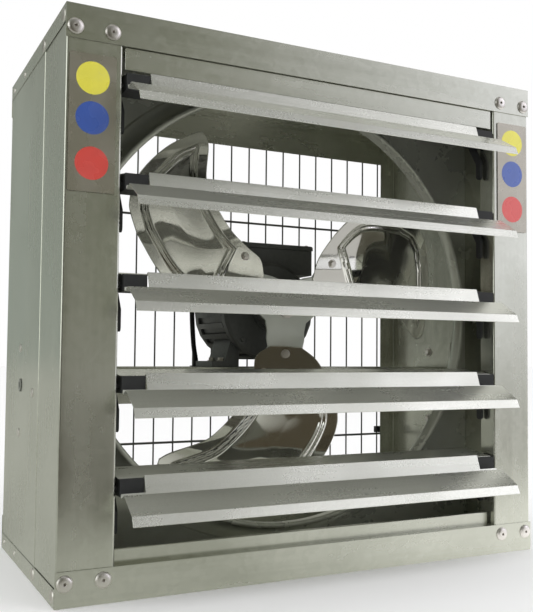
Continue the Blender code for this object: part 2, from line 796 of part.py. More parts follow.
def pitch_slope(reach):
    """How steeply a blade leans at a distance from the axis: rearward per metre clockwise."""
    start = ARM_ROOT_WIDTH / 2
    if reach < ARM_NECK_REACH:
        return ROOT_LEAN_SHARE * max(0.0, (reach - start) / (ARM_NECK_REACH - start))
    share = max(0.0, (reach - ARM_LENGTH) / (TIP_RADIUS - ARM_LENGTH))
    return ROOT_LEAN_SHARE + (TIP_LEAN_SHARE - ROOT_LEAN_SHARE) * share


def propeller_point(angle, out, across, behind):
    """A point given outwards along an arm, anticlockwise across it and behind the propeller's plane."""
    x = out * math.cos(angle) - across * math.sin(angle)
    z = out * math.sin(angle) + across * math.cos(angle)
    return Vector((x, behind, z))


def blade_point(angle, out, across):
    """A point of a blade's front face: leaning with the pitch, hollow towards the shutter past its pad."""
    share = (out / TIP_RADIUS - CAMBER_START_SHARE) / (CAMBER_FULL_SHARE - CAMBER_START_SHARE)
    share = min(1.0, max(0.0, share))
    ease = share * share * (3 - 2 * share)
    middle = -(TIP_EDGE_SHARES[0][1] + LEADING_EDGE_SHARES[-1][1]) / 2 * share
    off = across / TIP_RADIUS + middle
    bow = BLADE_CAMBER * ease * (1 - (off / TIP_EDGE_SHARES[0][1]) ** 2)
    return propeller_point(angle, out, across, bow - pitch_slope(out) * across)


def propeller_blade(name, angle, mat, axis):
    """A pressed blade over the sheet between its four edges."""
    trailing = smooth_path(TRAILING_EDGE_SHARES, EDGE_SPANS)
    leading = smooth_path(LEADING_EDGE_SHARES, EDGE_SPANS)
    tip = smooth_path(TIP_EDGE_SHARES, EDGE_SPANS)
    root = smooth_path(ROOT_EDGE_SHARES, EDGE_SPANS)
    bm = bmesh.new()
    rows = []
    for row in range(BLADE_ROWS + 1):
        v = row / BLADE_ROWS
        verts = []
        for column in range(BLADE_COLUMNS + 1):
            u = column / BLADE_COLUMNS
            edges = along_path(root, u) * (1 - v) + along_path(tip, u) * v
            sides = along_path(trailing, v) * (1 - u) + along_path(leading, v) * u
            ends = (root[0] * (1 - u) + root[-1] * u) * (1 - v) + (tip[0] * (1 - u) + tip[-1] * u) * v
            share = edges + sides - ends
            verts.append(bm.verts.new(blade_point(angle, share.x * TIP_RADIUS, share.y * TIP_RADIUS)))
        rows.append(verts)
    for lower, upper in zip(rows, rows[1:]):
        for a, b, c, d in zip(lower, lower[1:], upper[1:], upper):
            bm.faces.new((a, b, c, d))
    face_forward(bm)
    made = finish(name, bm, mat, parent=axis, closed=False, sharp=60)
    wall(made, BLADE_PLATE)
    return made


def face_forward(bm):
    """Turns an open surface so that its faces look at the shutter."""
    bmesh.ops.recalc_face_normals(bm, faces=bm.faces)
    bm.normal_update()
    if sum(face.normal.y * face.calc_area() for face in bm.faces) > 0:
        bmesh.ops.reverse_faces(bm, faces=bm.faces)


def hub_plate(mat, axis):
    """The steel plate with one leaning arm behind each blade."""
    root_out = ARM_ROOT_WIDTH / 2 / math.tan(math.pi / BLADE_COUNT)
    stations = [
        (root_out, ARM_ROOT_WIDTH / 2),
        (ARM_ROOT_WIDTH / 2, ARM_ROOT_WIDTH * ARM_SHOULDER_SHARE),
        ((ARM_NECK_REACH + ARM_ROOT_WIDTH / 2) / 2, (ARM_NECK_WIDTH + ARM_ROOT_WIDTH) / 4),
        (ARM_NECK_REACH, ARM_NECK_WIDTH / 2),
        ((ARM_NECK_REACH + ARM_LENGTH) / 2, ARM_PAD_WIDTH / 2),
        (ARM_LENGTH, ARM_PAD_WIDTH / 2),
    ]
    across_steps = (-1.0, -0.5, 0.0, 0.5, 1.0)
    bm = bmesh.new()
    middle = []
    for index in range(BLADE_COUNT):
        angle = FIRST_BLADE_ANGLE + index * math.tau / BLADE_COUNT
        rows = []
        for out, half in stations:
            row = []
            for step in across_steps:
                lean = -pitch_slope(out) * step * half
                row.append(bm.verts.new(propeller_point(angle, out, step * half, ARM_FRONT + lean)))
            rows.append(row)
        for lower, upper in zip(rows, rows[1:]):
            for a, b, c, d in zip(lower, lower[1:], upper[1:], upper):
                bm.faces.new((a, b, c, d))
        middle += rows[0][:-1]
    bm.faces.new(middle)
    bmesh.ops.remove_doubles(bm, verts=bm.verts, dist=GAP / 10)
    face_forward(bm)
    made = finish("hub_plate", bm, mat, parent=axis, closed=False)
    wall(made, ARM_PLATE)
    hole = bmesh.new()
    radius = HUB_BOLT_RADIUS + GAP
    rod(hole, radius, (0, ARM_FRONT - OVERRUN, 0), (0, ARM_REAR + OVERRUN, 0), PIN_STEPS)
    cutter = helper_object("hub_plate_hole", hole)
    cutter.parent = axis
    boolean(made, cutter, "DIFFERENCE")
    return made


def hub_boss(mat, axis):
    """The turned boss between the hub plate and the shaft."""
    start = ARM_REAR + GAP
    bore = SHAFT_RADIUS + GAP
    profile = [
        (bore, start),
        (HUB_FLANGE_RADIUS, start),
        (HUB_FLANGE_RADIUS, start + HUB_FLANGE),
        (HUB_RADIUS, start + HUB_FLANGE),
        (HUB_RADIUS, start + HUB_LENGTH),
        (bore, start + HUB_LENGTH),
    ]
    bm = bmesh.new()
    turned(bm, profile, ROUND_STEPS)
    return finish("hub_boss", bm, mat, parent=axis)


def hub_bolt(mat, axis):
    """The centre bolt with its washer: it holds the hub plate and the boss on the shaft."""
    seat = ARM_FRONT - GAP
    tip = ARM_REAR + GAP + SHAFT_GAP + HUB_BOLT_REACH
    washer = seat - HUB_WASHER
    bm = bmesh.new()
    profile = [
        (0, washer - GAP),
        (HUB_WASHER_RADIUS, washer - GAP),
        (HUB_WASHER_RADIUS, seat),
        (HUB_BOLT_RADIUS, seat),
        (HUB_BOLT_RADIUS, tip),
        (0, tip),
    ]
    turned(bm, profile, ROUND_STEPS // 2)
    made = finish("hub_bolt", bm, mat, parent=axis)
    head = bmesh.new()
    rod(head, HUB_BOLT_HEAD_RADIUS, (0, washer - HUB_BOLT_HEAD, 0), (0, washer, 0), 6)
    helper = helper_object("hub_bolt_head", head)
    helper.parent = axis
    boolean(made, helper, "UNION")
    return made


# Motor


def motor_frame(mat):
    """The ribbed frame with its two feet, bored for the stator."""
    start = MOTOR_FRONT + SHIELD_LENGTH + GAP
    end = MOTOR_FRONT + SHIELD_LENGTH + FRAME_LENGTH - GAP
    outline = []
    for fin in range(FIN_COUNT):
        for share, radius in ((0, FRAME_RADIUS), (0, FIN_TIP), (1, FIN_TIP), (1, FRAME_RADIUS)):
            angle = math.tau * (fin + share * FIN_FILL_SHARE) / FIN_COUNT
            x = radius * math.sin(angle)
            outline.append((x, FAN_AXIS_HEIGHT + radius * math.cos(angle)))
    bm = bmesh.new()
    prism(bm, outline, 1, start, end)
    made = finish("motor_frame", bm, mat)
    low = CROSSBAR_TOP + GAP
    foot_start = FRONT + FOOT_FROM_FRONT
    feet = bmesh.new()
    for side in (-1, 1):
        outline = [
            (side * FOOT_INNER, low),
            (side * FOOT_HALF_WIDTH, low),
            (side * FOOT_HALF_WIDTH, low + FOOT_THICKNESS),
            (side * (FRAME_RADIUS - FIN_HEIGHT), low + FOOT_THICKNESS),
            (side * (FRAME_RADIUS - FOOT_WEB_INSET), FAN_AXIS_HEIGHT - FOOT_INNER),
            (side * FOOT_INNER, FAN_AXIS_HEIGHT - FOOT_INNER - FOOT_THICKNESS),
        ]
        prism(feet, outline, 1, foot_start, foot_start + FOOT_LENGTH)
    boolean(made, helper_object("motor_feet", feet), "UNION")
    bore = bmesh.new()
    at = (0, start - OVERRUN, FAN_AXIS_HEIGHT)
    rod(bore, FRAME_RADIUS - FRAME_WALL, at, (0, end + OVERRUN, FAN_AXIS_HEIGHT), ROUND_STEPS)
    boolean(made, helper_object("motor_bore", bore), "DIFFERENCE")
    return made


def end_shield(name, mat, front):
    """A turned end shield with its bearing seat; the front one lets the shaft through."""
    seat = BEARING_RADIUS + GAP
    hole = SHAFT_RADIUS + SHAFT_CLEARANCE
    inner = SHIELD_LENGTH - GAP
    floor = inner - BEARING_WIDTH
    profile = [
        (hole, -SHIELD_SNOUT),
        (SHIELD_SNOUT_RADIUS, -SHIELD_SNOUT),
        (SHIELD_SNOUT_RADIUS, 0),
        (SHIELD_RADIUS - SHIELD_CHAMFER, 0),
        (SHIELD_RADIUS, SHIELD_CHAMFER),
        (SHIELD_RADIUS, inner),
        (FRAME_RADIUS - FRAME_WALL, inner),
        (FRAME_RADIUS - 2 * FRAME_WALL, SHIELD_WALL),
        (SHIELD_SNOUT_RADIUS, SHIELD_WALL),
        (SHIELD_SNOUT_RADIUS, inner),
        (seat, inner),
        (seat, floor),
        (hole, floor),
    ]
    if not front:
        profile = [(0, -SHIELD_SNOUT)] + profile[1:-1] + [(0, floor)]
        profile = [(radius, -along) for radius, along in profile]
    bm = bmesh.new()
    turned(bm, profile, ROUND_STEPS)
    y = MOTOR_FRONT if front else MOTOR_REAR
    return finish(name, bm, mat, location=(0, y, FAN_AXIS_HEIGHT))


def bearing(name, mat, y):
    """One ball bearing, as the ring between shield and shaft."""
    inner = SHAFT_RADIUS + GAP
    profile = [
        (inner, 0),
        (BEARING_RADIUS, 0),
        (BEARING_RADIUS, BEARING_WIDTH - GAP),
        (inner, BEARING_WIDTH - GAP),
    ]
    bm = bmesh.new()
    turned(bm, profile, ROUND_STEPS)
    return finish(name, bm, mat, location=(0, y, FAN_AXIS_HEIGHT))


def stator(mat):
    """The core pressed in the frame, with the winding's ends standing out of it."""
    outer = FRAME_RADIUS - FRAME_WALL - GAP
    bore = ROTOR_RADIUS + AIR_GAP
    coil = outer - (outer - bore - WINDING_WALL) / 2
    half = CORE_LENGTH / 2
    reach = half + WINDING_LENGTH
    profile = [
        (bore, -half),
        (coil - WINDING_WALL, -half),
        (coil - WINDING_WALL, -reach),
        (coil, -reach),
        (coil, -half),
        (outer, -half),
        (outer, half),
        (coil, half),
        (coil, reach),
        (coil - WINDING_WALL, reach),
        (coil - WINDING_WALL, half),
        (bore, half),
    ]
    bm = bmesh.new()
    turned(bm, profile, ROUND_STEPS)
    middle = (MOTOR_FRONT + MOTOR_REAR) / 2
    return finish("stator", bm, mat, location=(0, middle, FAN_AXIS_HEIGHT))


def rotor(mat, axis):
    """The shaft with the rotor core on it, drilled for the hub bolt."""
    plane = axis.location.y
    start = ARM_REAR + GAP + SHAFT_GAP
    end = MOTOR_REAR - SHIELD_LENGTH + BEARING_WIDTH - SHAFT_TAIL - plane
    middle = (MOTOR_FRONT + MOTOR_REAR) / 2 - plane
    half = CORE_LENGTH / 2
    drilled = HUB_BOLT_RADIUS + GAP
    profile = [
        (0, start + HUB_BOLT_REACH + SHAFT_GAP),
        (drilled, start + HUB_BOLT_REACH + SHAFT_GAP),
        (drilled, start),
        (SHAFT_RADIUS, start),
        (SHAFT_RADIUS, middle - half),
        (ROTOR_RADIUS, middle - half),
        (ROTOR_RADIUS, middle + half),
        (SHAFT_RADIUS, middle + half),
        (SHAFT_RADIUS, end),
        (0, end),
    ]
    bm = bmesh.new()
    turned(bm, profile, ROUND_STEPS)
    return finish("rotor_shaft", bm, mat, parent=axis)


# Terminal box, cable and crossbar


def terminal_box(mat):
    """An open box that saddles the frame, closed by its lid."""
    half = BOX_WIDTH / 2
    start = FRONT + BOX_FROM_FRONT
    base = FAN_AXIS_HEIGHT + BOX_BASE_HEIGHT
    top = FAN_AXIS_HEIGHT + BOX_TOP_HEIGHT
    bm = bmesh.new()
    box(bm, (BOX_CENTRE - half, start, base), (BOX_CENTRE + half, start + BOX_LENGTH, top))
    made = finish("terminal_box", bm, mat)
    hollow = bmesh.new()
    floor = FAN_AXIS_HEIGHT + FIN_TIP + BOX_FLOOR
    low = (BOX_CENTRE - half + BOX_WALL, start + BOX_WALL, floor)
    high = (BOX_CENTRE + half - BOX_WALL, start + BOX_LENGTH - BOX_WALL, top + OVERRUN)
    box(hollow, low, high)
    boolean(made, helper_object("terminal_box_hollow", hollow), "DIFFERENCE")
    saddle = bmesh.new()
    near = (0, start - OVERRUN, FAN_AXIS_HEIGHT)
    far = (0, start + BOX_LENGTH + OVERRUN, FAN_AXIS_HEIGHT)
    rod(saddle, FIN_TIP + 2 * GAP, near, far, 2 * ROUND_STEPS)
    boolean(made, helper_object("terminal_box_saddle", saddle), "DIFFERENCE")
    return made


def terminal_lid(mat):
    half = BOX_WIDTH / 2 + LID_OVERHANG
    start = FRONT + BOX_FROM_FRONT
    low = FAN_AXIS_HEIGHT + BOX_TOP_HEIGHT + GAP
    bm = bmesh.new()
    corner = (BOX_CENTRE - half, start - LID_OVERHANG, low)
    box(bm, corner, (BOX_CENTRE + half, start + BOX_LENGTH + LID_OVERHANG, low + LID_THICKNESS))
    upper = [edge for edge in bm.edges if all(v.co.z > low + LID_THICKNESS / 2 for v in edge.verts)]
    bmesh.ops.bevel(bm, geom=upper, offset=BOX_EDGE, segments=2, affect="EDGES", profile=0.5)
    return finish("terminal_lid", bm, mat)


def gland_centre():
    """Where the cable leaves the terminal box: the middle of the gland's seat."""
    x = BOX_CENTRE - BOX_WIDTH / 2
    y = FRONT + CABLE_FROM_FRONT - GLAND_RADIUS
    return Vector((x, y, FAN_AXIS_HEIGHT + BOX_TOP_HEIGHT - GLAND_BELOW_TOP))


def cable_gland(mat):
    """The gland on the box's side, with its clamping nut."""
    bore = CABLE_RADIUS + GAP
    profile = [
        (bore, GAP),
        (GLAND_NUT_RADIUS, GAP),
        (GLAND_NUT_RADIUS, GLAND_NUT),
        (GLAND_RADIUS, GLAND_NUT),
        (GLAND_RADIUS, GLAND_LENGTH - GLAND_NUT),
        (GLAND_NUT_RADIUS, GLAND_LENGTH - GLAND_NUT),
        (GLAND_NUT_RADIUS - GLAND_CHAMFER, GLAND_LENGTH),
        (bore, GLAND_LENGTH),
    ]
    bm = bmesh.new()
    turned(bm, profile, PIN_STEPS, axis=(-1, 0, 0))
    return finish("cable_gland", bm, mat, location=gland_centre())


def cable_holes():
    """Middles of the cable's holes: in the crossbar's top, and in the left wall."""
    top = Vector((-CABLE_HOLE_OFFSET, FRONT + CABLE_FROM_FRONT, CROSSBAR_TOP))
    run = Vector((-SIDE_OUTER, FRONT + CABLE_RUN_FROM_FRONT, CROSSBAR_TOP - CABLE_RUN_BELOW_TOP))
    return top, run


def motor_cable(mat):
    """The cable from the gland down beside the motor, through the crossbar's top and along inside it."""
    gland = gland_centre()
    top, run = cable_holes()
    swing = -CABLE_SWING
    axis_z = FAN_AXIS_HEIGHT
    start = gland.x - GAP
    leave = start - GLAND_LENGTH
    straight = 3 * CABLE_RADIUS
    under = CROSSBAR_TOP - CROSSBAR_SHEET
    route = [
        (start, gland.y, gland.z),
        (leave, gland.y, gland.z),
        (leave - straight, gland.y, gland.z),
        (swing, (gland.y + top.y) / 2, gland.z - 2 * straight),
        (swing, top.y, axis_z + straight),
        (swing, top.y, axis_z - straight),
        (top.x - CABLE_RADIUS, top.y, axis_z - SHAFT_HEIGHT + 3 * straight),
        (top.x, top.y, CROSSBAR_TOP + straight),
        (top.x, top.y, CROSSBAR_TOP + GROMMET_RIM),
        (top.x, top.y, under - GROMMET_RIM),
        (top.x, top.y, under - 2 * GROMMET_RIM),
        (top.x - CABLE_RADIUS, top.y, under - straight),
        (top.x - 3 * straight, (top.y + run.y) / 2, run.z),
        (top.x - 6 * straight, run.y, run.z),
        ((top.x - 6 * straight + run.x) / 2, run.y, run.z),
        (run.x + 2 * straight, run.y, run.z),
        (run.x, run.y, run.z),
    ]
    curve = bpy.data.curves.new("motor_cable", "CURVE")
    curve.dimensions = "3D"
    curve.bevel_depth = CABLE_RADIUS
    curve.bevel_resolution = CABLE_SIDES
    curve.use_fill_caps = True
    points = smooth_path(route, CABLE_POINTS_PER_SPAN)
    spline = curve.splines.new("POLY")
    spline.points.add(len(points) - 1)
    for place, point in zip(spline.points, points):
        place.co = (*point, 1)
    curve.materials.append(mat)
    made = bpy.data.objects.new("motor_cable", curve)
    bpy.context.collection.objects.link(made)
    return made


def grommet(name, mat, at, axis, thickness):
    """A rubber ring in a sheet of some thickness, with a rim on both faces."""
    bore = CABLE_RADIUS + GAP
    neck = bore + GROMMET_WALL
    rim = neck + GROMMET_RIM
    near = GAP
    far = -thickness - GAP
    profile = [
        (bore, near + GROMMET_RIM_THICKNESS),
        (rim, near + GROMMET_RIM_THICKNESS),
        (rim, near),
        (neck, near),
        (neck, far),
        (rim, far),
        (rim, far - GROMMET_RIM_THICKNESS),
        (bore, far - GROMMET_RIM_THICKNESS),
    ]
    bm = bmesh.new()
    turned(bm, profile, PIN_STEPS, axis=axis)
    return finish(name, bm, mat, location=at)


def grommet_hole(name, at, direction, depth):
    """The cutter for a grommet's seat."""
    radius = CABLE_RADIUS + GAP + GROMMET_WALL + GAP
    way = Vector(direction)
    bm = bmesh.new()
    rod(bm, radius, at - way * OVERRUN, at + way * (depth + OVERRUN), PIN_STEPS)
    return helper_object(name, bm)


def crossbar(mat):
    """The channel across the housing, open downwards, that the motor's feet stand on."""
    half = SIDE_INNER - MOUNT_PLATE_SHEET - 2 * GAP
    start = FRONT + CROSSBAR_FROM_FRONT
    end = start + CROSSBAR_DEPTH
    low = CROSSBAR_TOP - CROSSBAR_HEIGHT
    path = [(start, low), (start, CROSSBAR_TOP), (end, CROSSBAR_TOP), (end, low)]
    bm = bmesh.new()
    prism(bm, folded_outline(path, -CROSSBAR_SHEET), 0, -half, half)
    made = finish("motor_crossbar", bm, mat)
    top, _ = cable_holes()
    cutter = grommet_hole("crossbar_cable_hole", top, (0, 0, -1), CROSSBAR_SHEET)
    boolean(made, cutter, "DIFFERENCE")
    return made


def mount_plate(name, side, mat):
    """The plate that bolts one end of the crossbar to the side wall."""
    middle = CROSSBAR_TOP - MOUNT_PLATE_BELOW_TOP
    start = FRONT + CROSSBAR_FROM_FRONT - MOUNT_PLATE_MARGIN
    end = start + CROSSBAR_DEPTH + 2 * MOUNT_PLATE_MARGIN
    x = sorted((side * (SIDE_INNER - GAP), side * (SIDE_INNER - GAP - MOUNT_PLATE_SHEET)))
    half = MOUNT_PLATE_HEIGHT / 2
    bm = bmesh.new()
    box(bm, (x[0], start, middle - half), (x[1], end, middle + half))
    return finish(name, bm, mat)


# Guard


def guard_grille(mat):
    """The welded wire guard: upright wires over four cross wires."""
    edge_x = GUARD_EDGE_X
    low = END_REAR_FLANGE - GUARD_EDGE
    high = HOUSING_HEIGHT - END_REAR_FLANGE + GUARD_EDGE
    over = 2 * GUARD_CROSS_RADIUS
    uprights = bmesh.new()
    for x in [-edge_x, edge_x] + [index * GUARD_PITCH - GUARD_LAST_X for index in range(GUARD_WIRES)]:
        start = (x, GUARD_WIRE_Y, low - over)
        rod(uprights, GUARD_WIRE_RADIUS, start, (x, GUARD_WIRE_Y, high + over), WIRE_STEPS)
    made = finish("guard_grille", uprights, mat)
    crossing = bmesh.new()
    for z in (low, *GUARD_CROSS_PLACES, high):
        start = (-edge_x - over, GUARD_CROSS_Y, z)
        rod(crossing, GUARD_CROSS_RADIUS, start, (edge_x + over, GUARD_CROSS_Y, z), WIRE_STEPS)
    boolean(made, helper_object("guard_cross_wires", crossing), "UNION")
    return made


def guard_clips(mat):
    """Saddle clips on the rear flanges that hold the guard's last wires."""
    front = BACK - LAYER + GAP
    deep = GUARD_WIRE_Y + GUARD_WIRE_RADIUS + CLIP_FREE
    rear = deep + CLIP_WALL
    last = GUARD_LAST_X
    edge_x = GUARD_EDGE_X
    groove = GUARD_WIRE_RADIUS + CLIP_FREE
    number = 0
    for side in (-1, 1):
        for z in GUARD_CROSS_PLACES:
            number += 1
            outline = [(last - groove - CLIP_WALL, front)]
            for wire in (last, edge_x):
                outline += [
                    (wire - groove, front),
                    (wire - groove, deep),
                    (wire + groove, deep),
                    (wire + groove, front),
                ]
            outline += [
                (edge_x + groove + CLIP_WALL, front),
                (edge_x + groove + CLIP_WALL, rear),
                (last - groove - CLIP_WALL, rear),
            ]
            low = z + CLIP_ABOVE_WIRE - CLIP_HEIGHT / 2
            bm = bmesh.new()
            prism(bm, [(side * x, y) for x, y in outline], 2, low, low + CLIP_HEIGHT)
            finish(f"guard_clip_{number}", bm, mat)


def main():
    for old in list(bpy.data.objects):
        bpy.data.objects.remove(old, do_unlink=True)

    galvanised = material("galvanised steel", (0.56, 0.58, 0.55), 0.38, 1.0)
    polished = material("polished stainless", (0.72, 0.71, 0.67), 0.09, 1.0)
    plate = material("zinc plated steel", (0.50, 0.50, 0.47), 0.42, 1.0)
    bright = material("bright rivet steel", (0.76, 0.76, 0.75), 0.22, 1.0)
    plastic = material("black plastic", (0.018, 0.018, 0.020), 0.45, 0.0)
    paint = material("black motor paint", (0.022, 0.023, 0.024), 0.50, 0.0)
    rubber = material("black rubber", (0.015, 0.015, 0.016), 0.62, 0.0)
    wire = material("dark guard wire", (0.16, 0.16, 0.15), 0.40, 1.0)
    aluminium = material("cast aluminium", (0.55, 0.55, 0.55), 0.45, 1.0)
    copper = material("winding", (0.45, 0.22, 0.10), 0.45, 0.6)

    end_panel("bottom_panel", galvanised, 0, 0)
    end_panel("top_panel", galvanised, HOUSING_HEIGHT, math.pi)
    left = side_panel("left_panel", -1, galvanised)
    side_panel("right_panel", 1, galvanised)
    bottom_stop_strip(galvanised)
    top_stop_strip(galvanised)
    corner_rivets(bright)
    venturi_panel(galvanised)

    pivots = [empty(f"shutter_pivot_{index + 1}", pivot_of(index)) for index in range(SHUTTER_BLADES)]
    shutter_blades(galvanised, pivots)
    for index, pivot in enumerate(pivots, 1):
        bracket(f"left_bracket_{index}", -1, plastic, pivot, True)
        bracket(f"right_bracket_{index}", 1, plastic, pivot, False)
    link_rod(galvanised, empty("link_pin", (0, LINK_PIN_BACK, LINK_PIN_RISE), pivots[0]))

    axis = empty("fan_axis", (0, FRONT + PROPELLER_FROM_FRONT, FAN_AXIS_HEIGHT))
    for index in range(BLADE_COUNT):
        angle = FIRST_BLADE_ANGLE + index * math.tau / BLADE_COUNT
        propeller_blade(f"propeller_blade_{index + 1}", angle, polished, axis)
    hub_plate(plate, axis)
    hub_boss(aluminium, axis)
    hub_bolt(bright, axis)
    rotor(plate, axis)

    motor_frame(paint)
    end_shield("front_end_shield", paint, True)
    end_shield("rear_end_shield", paint, False)
    bearing("front_bearing", bright, MOTOR_FRONT + SHIELD_LENGTH - BEARING_WIDTH)
    bearing("rear_bearing", bright, MOTOR_REAR - SHIELD_LENGTH + GAP)
    stator(copper)
    terminal_box(plastic)
    terminal_lid(plastic)
    cable_gland(plastic)
    motor_cable(rubber)

    crossbar(galvanised)
    mount_plate("right_mount_plate", 1, galvanised)
    left_plate = mount_plate("left_mount_plate", -1, galvanised)
    top, run = cable_holes()
    grommet("crossbar_grommet", rubber, top, (0, 0, 1), CROSSBAR_SHEET)
    stack = SHEET + GAP + MOUNT_PLATE_SHEET
    grommet("side_grommet", rubber, run, (-1, 0, 0), stack)
    wall_hole = grommet_hole("side_cable_hole", run, (1, 0, 0), stack)
    boolean(left, wall_hole, "DIFFERENCE")
    boolean(left_plate, wall_hole, "DIFFERENCE")

    guard_grille(wire)
    guard_clips(plastic)


main()
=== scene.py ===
# Wall exhaust fan, dressed for the studio: sheet-metal housing, shutter, bell mouth, propeller, motor, guard.
# Everything is in metres. The shutter faces -Y, the left wall is at -X and the underside is z = 0.

import math

import bmesh
import bpy
from mathutils import Matrix, Vector
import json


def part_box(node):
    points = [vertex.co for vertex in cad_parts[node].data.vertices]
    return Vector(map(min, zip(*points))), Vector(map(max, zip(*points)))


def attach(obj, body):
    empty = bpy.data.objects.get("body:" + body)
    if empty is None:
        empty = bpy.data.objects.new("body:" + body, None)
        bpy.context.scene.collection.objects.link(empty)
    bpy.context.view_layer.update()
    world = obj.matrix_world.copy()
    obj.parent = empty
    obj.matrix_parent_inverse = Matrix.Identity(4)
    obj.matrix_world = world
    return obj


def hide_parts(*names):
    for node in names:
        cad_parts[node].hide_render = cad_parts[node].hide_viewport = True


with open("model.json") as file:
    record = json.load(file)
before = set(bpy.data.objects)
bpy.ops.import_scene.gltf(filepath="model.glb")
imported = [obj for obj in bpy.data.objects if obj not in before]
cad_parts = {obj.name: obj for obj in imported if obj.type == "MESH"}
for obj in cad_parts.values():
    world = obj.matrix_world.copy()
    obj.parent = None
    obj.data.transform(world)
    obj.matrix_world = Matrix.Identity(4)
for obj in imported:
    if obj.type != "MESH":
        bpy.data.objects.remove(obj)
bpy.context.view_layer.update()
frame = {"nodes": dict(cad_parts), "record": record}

frontPlane = -0.2015  # the front faces of the housing
fanAxis = Vector((0, frontPlane + 0.1316, 0.377))  # where the propeller's plane crosses its axis


# Camera

camera = dict(
    place=(-0.5968, -1.3018, 0.3006), tilt=0.0512, roll=-0.0052, turn=-0.5037, lens=52.196, sensor=36,
    shiftX=-0.1102, shiftY=0.01216,
)


def addObject(name, data):
    made = bpy.data.objects.new(name, data)
    bpy.context.scene.collection.objects.link(made)
    return made


def addCamera(spec):
    made = addObject("camera", bpy.data.cameras.new("camera"))
    turn = Matrix.Rotation(spec["turn"], 3, "Z") @ Matrix.Rotation(spec["tilt"], 3, "X")
    turn = turn @ Matrix.Rotation(spec["roll"], 3, "Y")
    look = turn @ Matrix(((1, 0, 0), (0, 0, -1), (0, 1, 0)))  # the camera looks along its own -Z
    made.matrix_world = Matrix.Translation(spec["place"]) @ look.to_4x4()
    made.data.sensor_fit = "VERTICAL"
    made.data.sensor_height = spec["sensor"]
    made.data.lens = spec["lens"]
    made.data.shift_x = spec["shiftX"]
    made.data.shift_y = spec["shiftY"]
    made.data.dof.use_dof = False
    bpy.context.scene.camera = made


# Node helpers


# An input that is given a socket is linked, and any other is set
def fill(tree, node, inputs):
    for name, value in inputs.items():
        if isinstance(value, bpy.types.NodeSocket):
            tree.links.new(value, node.inputs[name])
        else:
            node.inputs[name].default_value = value
    return node


def place(tree, kind, inputs=None, **fields):
    made = tree.nodes.new("ShaderNode" + kind)
    for field, value in fields.items():
        setattr(made, field, value)
    return fill(tree, made, inputs or {})


def maths(tree, operation, first, second):
    return place(tree, "Math", {0: first, 1: second}, operation=operation).outputs[0]


def times(tree, first, second):
    return maths(tree, "MULTIPLY", first, second)


# A value with a share of another one added to it
def addShare(tree, value, other, share):
    return maths(tree, "ADD", value, times(tree, other, share))


def vectors(tree, operation, inputs, output=0):
    return place(tree, "VectorMath", inputs, operation=operation).outputs[output]


def span(tree, value, fromLow, fromHigh, toLow, toHigh, smooth=False):
    inputs = {"Value": value, "From Min": fromLow, "From Max": fromHigh, "To Min": toLow, "To Max": toHigh}
    kind = "SMOOTHSTEP" if smooth else "LINEAR"
    return place(tree, "MapRange", inputs, interpolation_type=kind).outputs["Result"]


def noise(tree, at, scale, detail, rough=0.5):
    inputs = {"Vector": at, "Scale": scale, "Detail": detail, "Roughness": rough}
    return place(tree, "TexNoise", inputs).outputs


def bump(tree, strength, depth, height, under=None):
    inputs = {"Strength": strength, "Distance": depth, "Height": height}
    if under:
        inputs["Normal"] = under
    return place(tree, "Bump", inputs).outputs[0]


def opaque(colour):
    return colour if isinstance(colour, bpy.types.NodeSocket) else (*colour, 1)


def blendColour(tree, share, first, second, mode="MIX"):
    inputs = {0: share, 6: opaque(first), 7: opaque(second)}
    return place(tree, "Mix", inputs, data_type="RGBA", blend_type=mode).outputs[2]


# A shader node group. It takes a vector where the value is a triple or None, and gives plain numbers.
def newGroup(name, takes, gives):
    group = bpy.data.node_groups.new(name, "ShaderNodeTree")
    for label, value in takes.items():
        kind = "NodeSocketFloat" if isinstance(value, float) else "NodeSocketVector"
        socket = group.interface.new_socket(name=label, in_out="INPUT", socket_type=kind)
        if value is not None:
            socket.default_value = value
    for label in gives:
        group.interface.new_socket(name=label, in_out="OUTPUT", socket_type="NodeSocketFloat")
    return group, group.nodes.new("NodeGroupInput").outputs, group.nodes.new("NodeGroupOutput").inputs


def use(tree, group, inputs):
    made = tree.nodes.new("ShaderNodeGroup")
    made.node_tree = group
    return fill(tree, made, inputs).outputs


# Shared surface effects


# Zinc crystals: flat patches that differ a little in tone, with faint borders
def spangleGroup(wander=60.0, detail=2.0, middle=(0.5, 0.5, 0.5)):
    takes = {"Vector": None, "Cells": 120.0, "Warp": 0.004}
    group, start, end = newGroup("zinc spangle", takes, ("Tone", "Height"))
    drift = noise(group, start["Vector"], wander, detail)["Color"]
    shifted = vectors(group, "SUBTRACT", {0: drift, 1: middle})
    scaled = vectors(group, "SCALE", {0: shifted, "Scale": start["Warp"]})
    warped = vectors(group, "ADD", {0: start["Vector"], 1: scaled})
    cells = place(group, "TexVoronoi", {"Vector": warped, "Scale": start["Cells"]}).outputs
    tone = place(group, "SeparateColor", {0: cells["Color"]}).outputs[0]
    group.links.new(tone, end["Tone"])
    group.links.new(times(group, cells["Distance"], tone), end["Height"])
    return group


# Fine lines left by rolling and by wiping, along one direction of the sheet
def streakGroup(fine=(3.0, 0.6), wide=(4.0, 0.55)):
    takes = {"Vector": None, "Across": (220.0, 220.0, 3.0), "Broad": (26.0, 26.0, 1.3)}
    group, start, end = newGroup("rolling streaks", takes, ("Fine", "Wide"))
    for stretch, label, (detail, rough) in (("Across", "Fine", fine), ("Broad", "Wide", wide)):
        at = vectors(group, "MULTIPLY", {0: start["Vector"], 1: start[stretch]})
        group.links.new(noise(group, at, 1.0, detail, rough)["Fac"], end[label])
    return group


